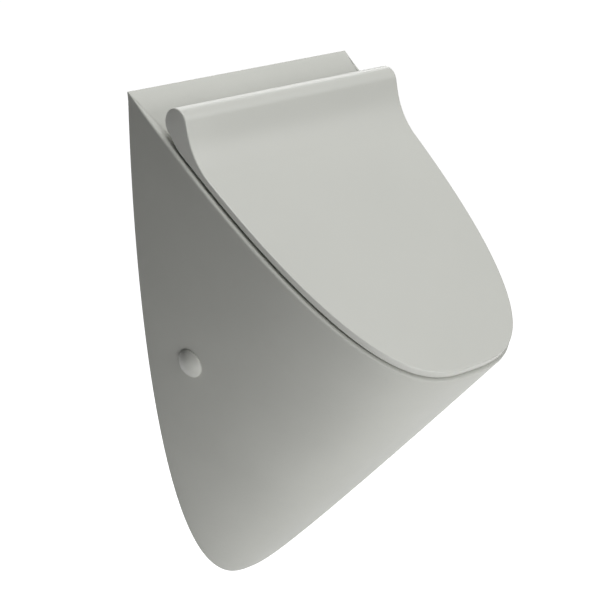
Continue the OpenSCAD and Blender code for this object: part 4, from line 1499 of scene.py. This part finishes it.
@dataclass
class ThreadedSteel:
    """Hinge studs and side screws, with their threads and drives cut in the mesh."""

    lines: Outlines
    radius: float = 4.0
    pitch: float = 1.25
    depth: float = 0.7
    per_turn: int = 6
    steps: int = 36
    chamfer: float = 0.8
    stud_low: float = -31.9
    stud_high: float = 0.7
    clamp_end: float = 88.57
    head_low: float = 113.07
    head_top: float = 117.57
    head_r: float = 7.0
    socket_r: float = 3.0
    socket_deep: float = 2.5
    edge: float = 0.5

    def ring(self, radius: float | np.ndarray, height: float) -> np.ndarray:
        """Closed ring of points round the z axis.

        Args:
            radius: Distance of all points from the axis, or of each.
            height: Their height.

        Returns:
            Points in millimetres.
        """
        turn = full_turn(self.steps)
        radius = np.broadcast_to(radius, turn.shape)
        return np.stack([radius * np.cos(turn), radius * np.sin(turn),
                         np.full_like(turn, height)], axis=-1)

    def hexagon(self, radius: float) -> np.ndarray:
        """Distance from the axis to a hexagon's sides, for each point of a ring."""
        off = np.mod(full_turn(self.steps), math.pi / 3) - math.pi / 6
        return radius * math.cos(math.pi / 6) / np.cos(off)

    def thread(self, low: float, high: float) -> list[np.ndarray]:
        """Rings of a threaded rod, from its upper end to its lower end.

        Args:
            low: Height of the lower end.
            high: Height of the upper end.

        Returns:
            The rings, with both ends chamfered.
        """
        rows = []
        turn = np.arange(self.steps) / self.steps
        count = int((high - low) / self.pitch * self.per_turn)
        for height in np.linspace(high, low, count + 1):
            phase = np.mod(height / self.pitch - turn, 1)
            groove = np.abs(2 * phase - 1)
            near = min(high - height, height - low)
            limit = self.radius - max(0.0, self.chamfer - near)
            rows.append(self.ring(np.minimum(self.radius - self.depth * groove, limit), height))
        return rows

    def head(self) -> list[np.ndarray]:
        """Rings of a side screw's head, from the floor of its hexagon socket outwards.

        Returns:
            The rings, which the shank's rings follow.
        """
        socket = self.hexagon(self.socket_r)
        floor = self.head_top - self.socket_deep
        return [
            self.ring(socket, floor),
            self.ring(socket, self.head_top - self.edge / 2),
            self.ring(self.socket_r + self.edge / 2, self.head_top),
            self.ring(self.head_r - self.edge, self.head_top),
            self.ring(self.head_r, self.head_top - self.edge),
            self.ring(self.head_r, self.head_low + self.edge / 2),
            self.ring(self.head_r - self.edge / 2, self.head_low),
            self.ring(self.radius, self.head_low),
        ]

    def turned(self, mesher: Mesher, rings: list[np.ndarray], place: Matrix) -> None:
        """Adds rings as one closed body, moved by a matrix."""
        move = np.array(place)
        mesher.tube(np.array(rings) @ move[:3, :3].T + move[:3, 3])

    def finish(self, mesher: Mesher, name: str, node: str) -> bpy.types.Object:
        """Makes the piece that stands for a node of fasteners.

        Args:
            mesher: Holds the piece's points and faces.
            name: Name of the piece.
            node: Node that it replaces.

        Returns:
            The finished piece.
        """
        piece = mesher.build(name)
        paint(piece, STAINLESS)
        smooth(piece)
        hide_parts(node)
        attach(piece, Body.FIXED.value)
        return piece

    def studs(self) -> bpy.types.Object:
        """Builds the two studs that hold the hinge arms down.

        Returns:
            The finished piece.
        """
        mesher = Mesher()
        for side in Side:
            self.turned(mesher, self.thread(self.stud_low, self.stud_high),
                        self.lines.slope.foot(side))
        return self.finish(mesher, "threaded_hinge_studs", "hinge_studs")

    def screws(self) -> bpy.types.Object:
        """Builds the two screws that pull the casting onto its wall brackets.

        Returns:
            The finished piece.
        """
        mesher = Mesher()
        for side in Side:
            rings = self.head() + self.thread(self.clamp_end, self.head_low - self.edge)
            self.turned(mesher, rings, self.lines.clamp(side))
        return self.finish(mesher, "socket_head_clamp_screws", "clamp_screws")


@dataclass
class Fittings:
    """The nodes of the frame that stay as they are, with softened edges and finishes."""

    smooth_degrees: float = 30.0
    weld_m: float = 1e-6
    flat_degrees: float = 0.5
    bevel_segments: int = 2
    bevel_degrees: float = 40.0

    def dress(self, name: str) -> bpy.types.Object:
        """Gives one node its finish and its edges.

        Args:
            name: Name of the node.

        Returns:
            The node's object.
        """
        finish, edge_mm = NODE_FINISHES[name]
        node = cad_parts[name]
        for index in range(len(node.material_slots)):
            node.material_slots[index].material = finish.build()
        smooth(node, self.smooth_degrees)
        weld = node.modifiers.new("weld", "WELD")
        weld.merge_threshold = self.weld_m
        flat = node.modifiers.new("flat", "DECIMATE")
        flat.decimate_type = "DISSOLVE"
        flat.angle_limit = math.radians(self.flat_degrees)
        bevel = node.modifiers.new("edges", "BEVEL")
        bevel.width = edge_mm * MM
        bevel.segments = self.bevel_segments
        bevel.limit_method = "ANGLE"
        bevel.angle_limit = math.radians(self.bevel_degrees)
        level = node.modifiers.new("level", "WEIGHTED_NORMAL")
        level.keep_sharp = True
        return node


class LampPlace(Enum):
    """Each studio lamp: azimuth and elevation in degrees, distance and width in metres."""

    TOP_FRONT = (0, 80, 2.4, 1.2)
    TOP_REAR = (180, 78, 2.4, 1.2)
    KEY = (35, 42, 2.4, 1.2)
    FRONT = (-2, 10, 2.4, 1.2)
    LOW = (-38, -38, 1.3, 0.8)
    REAR = (135, 33, 2.4, 1.2)
    BACK = (165, 4, 2.4, 1.2)


@dataclass
class Studio:
    """Floor, soft lamps, even surroundings and the camera."""

    middle: Vector = field(default_factory=lambda: Vector((0.0, -0.13, 0.0)))
    floor_z: float = -0.95
    floor_half: float = 14.0
    floor_points: int = 9
    floor_colour: str = "#dadada"
    floor_shade: str = "#d7d7d7"
    floor_rough: float = 0.6
    mottle_mm: float = 900.0
    mottle_detail: float = 2.0
    camera_azimuth: float = -44.075
    camera_elevation: float = 18.148
    camera_place: tuple[float, float, float] = (-1.3316, -1.4692, 0.6632)
    lens: float = 120.66
    sensor_mm: float = 36.0
    surround: float = 0.02
    # Glow of the floor near the object, half its glow far off: painted shade round the object
    painted_shade_glow: float = 0.5
    near_m: float = 1.1
    far_m: float = 1.5
    watts: dict[LampPlace, float] = field(default_factory=lambda: {
        LampPlace.TOP_FRONT: 23.0, LampPlace.TOP_REAR: 13.0, LampPlace.KEY: 8.5,
        LampPlace.FRONT: 24.0, LampPlace.LOW: 6.4, LampPlace.REAR: 11.0,
        LampPlace.BACK: 12.0})

    def floor(self) -> bpy.types.Object:
        """Builds a pale floor that looks white to the camera from afar and keeps the object's
        shadow; near the object its glow is dimmed, a painted shade pool that reflections of the
        floor show too.

        Returns:
            The floor, which isn't part of the object.
        """
        mesher = Mesher()
        half, z = self.floor_half / MM, self.floor_z / MM
        steps = np.linspace(-half, half, self.floor_points)
        grid = mesher.add(np.array([[(x, y, z) for x in steps] for y in steps]))
        mesher.sheet(grid)
        piece = mesher.build("floor")
        material = bpy.data.materials.new("floor_painted_matt")
        tree = clear_tree(material)
        place = add_node(tree, "ShaderNodeTexCoord").outputs["Object"]
        mottle = add_node(tree, "ShaderNodeTexNoise", inputs={
            "Vector": place, "Scale": per_metre(self.mottle_mm),
            "Detail": self.mottle_detail})
        tone = add_node(tree, "ShaderNodeMix", {"data_type": "RGBA"}, {
            MIX_SHARE: mottle.outputs["Fac"], MIX_FIRST: linear(self.floor_colour),
            MIX_SECOND: linear(self.floor_shade)})
        matt = add_node(tree, "ShaderNodeBsdfDiffuse", inputs={
            "Color": tone.outputs[MIX_RESULT], "Roughness": self.floor_rough})
        ray = add_node(tree, "ShaderNodeLightPath")
        seen = add_node(tree, "ShaderNodeMath", {"operation": "MAXIMUM"}, {
            0: ray.outputs["Is Camera Ray"], 1: ray.outputs["Is Glossy Ray"]})
        seen_all = add_node(tree, "ShaderNodeMath", {"operation": "MAXIMUM"}, {
            0: seen.outputs[0], 1: ray.outputs["Is Transmission Ray"]})
        away = add_node(tree, "ShaderNodeVectorMath", {"operation": "LENGTH"}, {0: place})
        # The floor's glow falls from 1 far off to a lower glow near the object: painted shade round
        # the object, on the floor and in the glaze's reflections of it
        glow_dimmed_near = add_node(tree, "ShaderNodeMapRange", inputs={
            "Value": away.outputs["Value"], "From Min": self.near_m, "From Max": self.far_m,
            "To Min": self.painted_shade_glow, "To Max": 1.0})
        lift = add_node(tree, "ShaderNodeMath", {"operation": "MULTIPLY"}, {
            0: seen_all.outputs[0], 1: glow_dimmed_near.outputs["Result"]})
        glow = add_node(tree, "ShaderNodeEmission", inputs={
            "Color": linear("#ffffff"), "Strength": lift.outputs[0]})
        both = add_node(tree, "ShaderNodeAddShader", inputs={
            0: matt.outputs[0], 1: glow.outputs[0]})
        add_node(tree, "ShaderNodeOutputMaterial", inputs={"Surface": both.outputs[0]})
        piece.data.materials.append(material)
        return piece

    def surroundings(self) -> None:
        """Even grey light from all round, seen as white by the camera."""
        world = bpy.data.worlds.new("studio")
        bpy.context.scene.world = world
        tree = clear_tree(world)
        ray = add_node(tree, "ShaderNodeLightPath")
        seen = add_node(tree, "ShaderNodeMath", {"operation": "MAXIMUM"}, {
            0: ray.outputs["Is Camera Ray"], 1: ray.outputs["Is Transmission Ray"]})
        strength = add_node(tree, "ShaderNodeMapRange", inputs={
            "Value": seen.outputs[0], "To Min": self.surround, "To Max": 1.0})
        light = add_node(tree, "ShaderNodeBackground", inputs={
            "Color": linear("#ffffff"), "Strength": strength.outputs["Result"]})
        add_node(tree, "ShaderNodeOutputWorld", inputs={"Surface": light.outputs[0]})

    def lamp(self, place: LampPlace, power: float) -> None:
        """Adds one square soft lamp that faces the object.

        Args:
            place: Where it stands.
            power: Its power in watts.
        """
        azimuth, elevation, distance, width = place.value
        away = direction(azimuth, elevation)
        data = bpy.data.lights.new(place.name.lower(), "AREA")
        data.shape = "SQUARE"
        data.size = width
        data.energy = power
        lamp = bpy.data.objects.new(place.name.lower(), data)
        lamp.location = self.middle + away * distance
        lamp.rotation_euler = away.to_track_quat("Z", "Y").to_euler()
        bpy.context.scene.collection.objects.link(lamp)

    def camera(self) -> None:
        """Sets the camera where the photograph was taken from."""
        back = direction(self.camera_azimuth, self.camera_elevation)
        data = bpy.data.cameras.new("camera")
        data.lens = self.lens
        data.sensor_width = self.sensor_mm
        camera = bpy.data.objects.new("camera", data)
        camera.location = self.camera_place
        camera.rotation_euler = back.to_track_quat("Z", "Y").to_euler()
        bpy.context.scene.collection.objects.link(camera)
        bpy.context.scene.camera = camera

    def build(self) -> None:
        """Builds the whole studio."""
        bpy.context.scene.view_settings.view_transform = "Standard"
        self.camera()
        self.floor()
        self.surroundings()
        for place, power in self.watts.items():
            self.lamp(place, power)


def main() -> None:
    """Builds each sub-assembly in order and reports each piece."""
    logging.basicConfig(level=logging.INFO, format="%(message)s")
    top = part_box("ceramic_body")[1].z / MM
    half_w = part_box("ceramic_body")[1].x / MM
    lines = Outlines(half_w=half_w, slope=Slope(top=top))
    Studio().build()
    casting = CeramicCasting(lines)
    made = [casting.build(), LidMoulding(lines).build()]
    cap = SideCap()
    made += [cap.build(side) for side in Side]
    steel = ThreadedSteel(lines)
    made += [steel.studs(), steel.screws()]
    fittings = Fittings()
    made += [fittings.dress(name) for name in NODE_FINISHES]
    for piece in made:
        LOG.info("%s: %d faces", piece.name, len(piece.data.polygons))


if __name__ == "__main__":
    main()
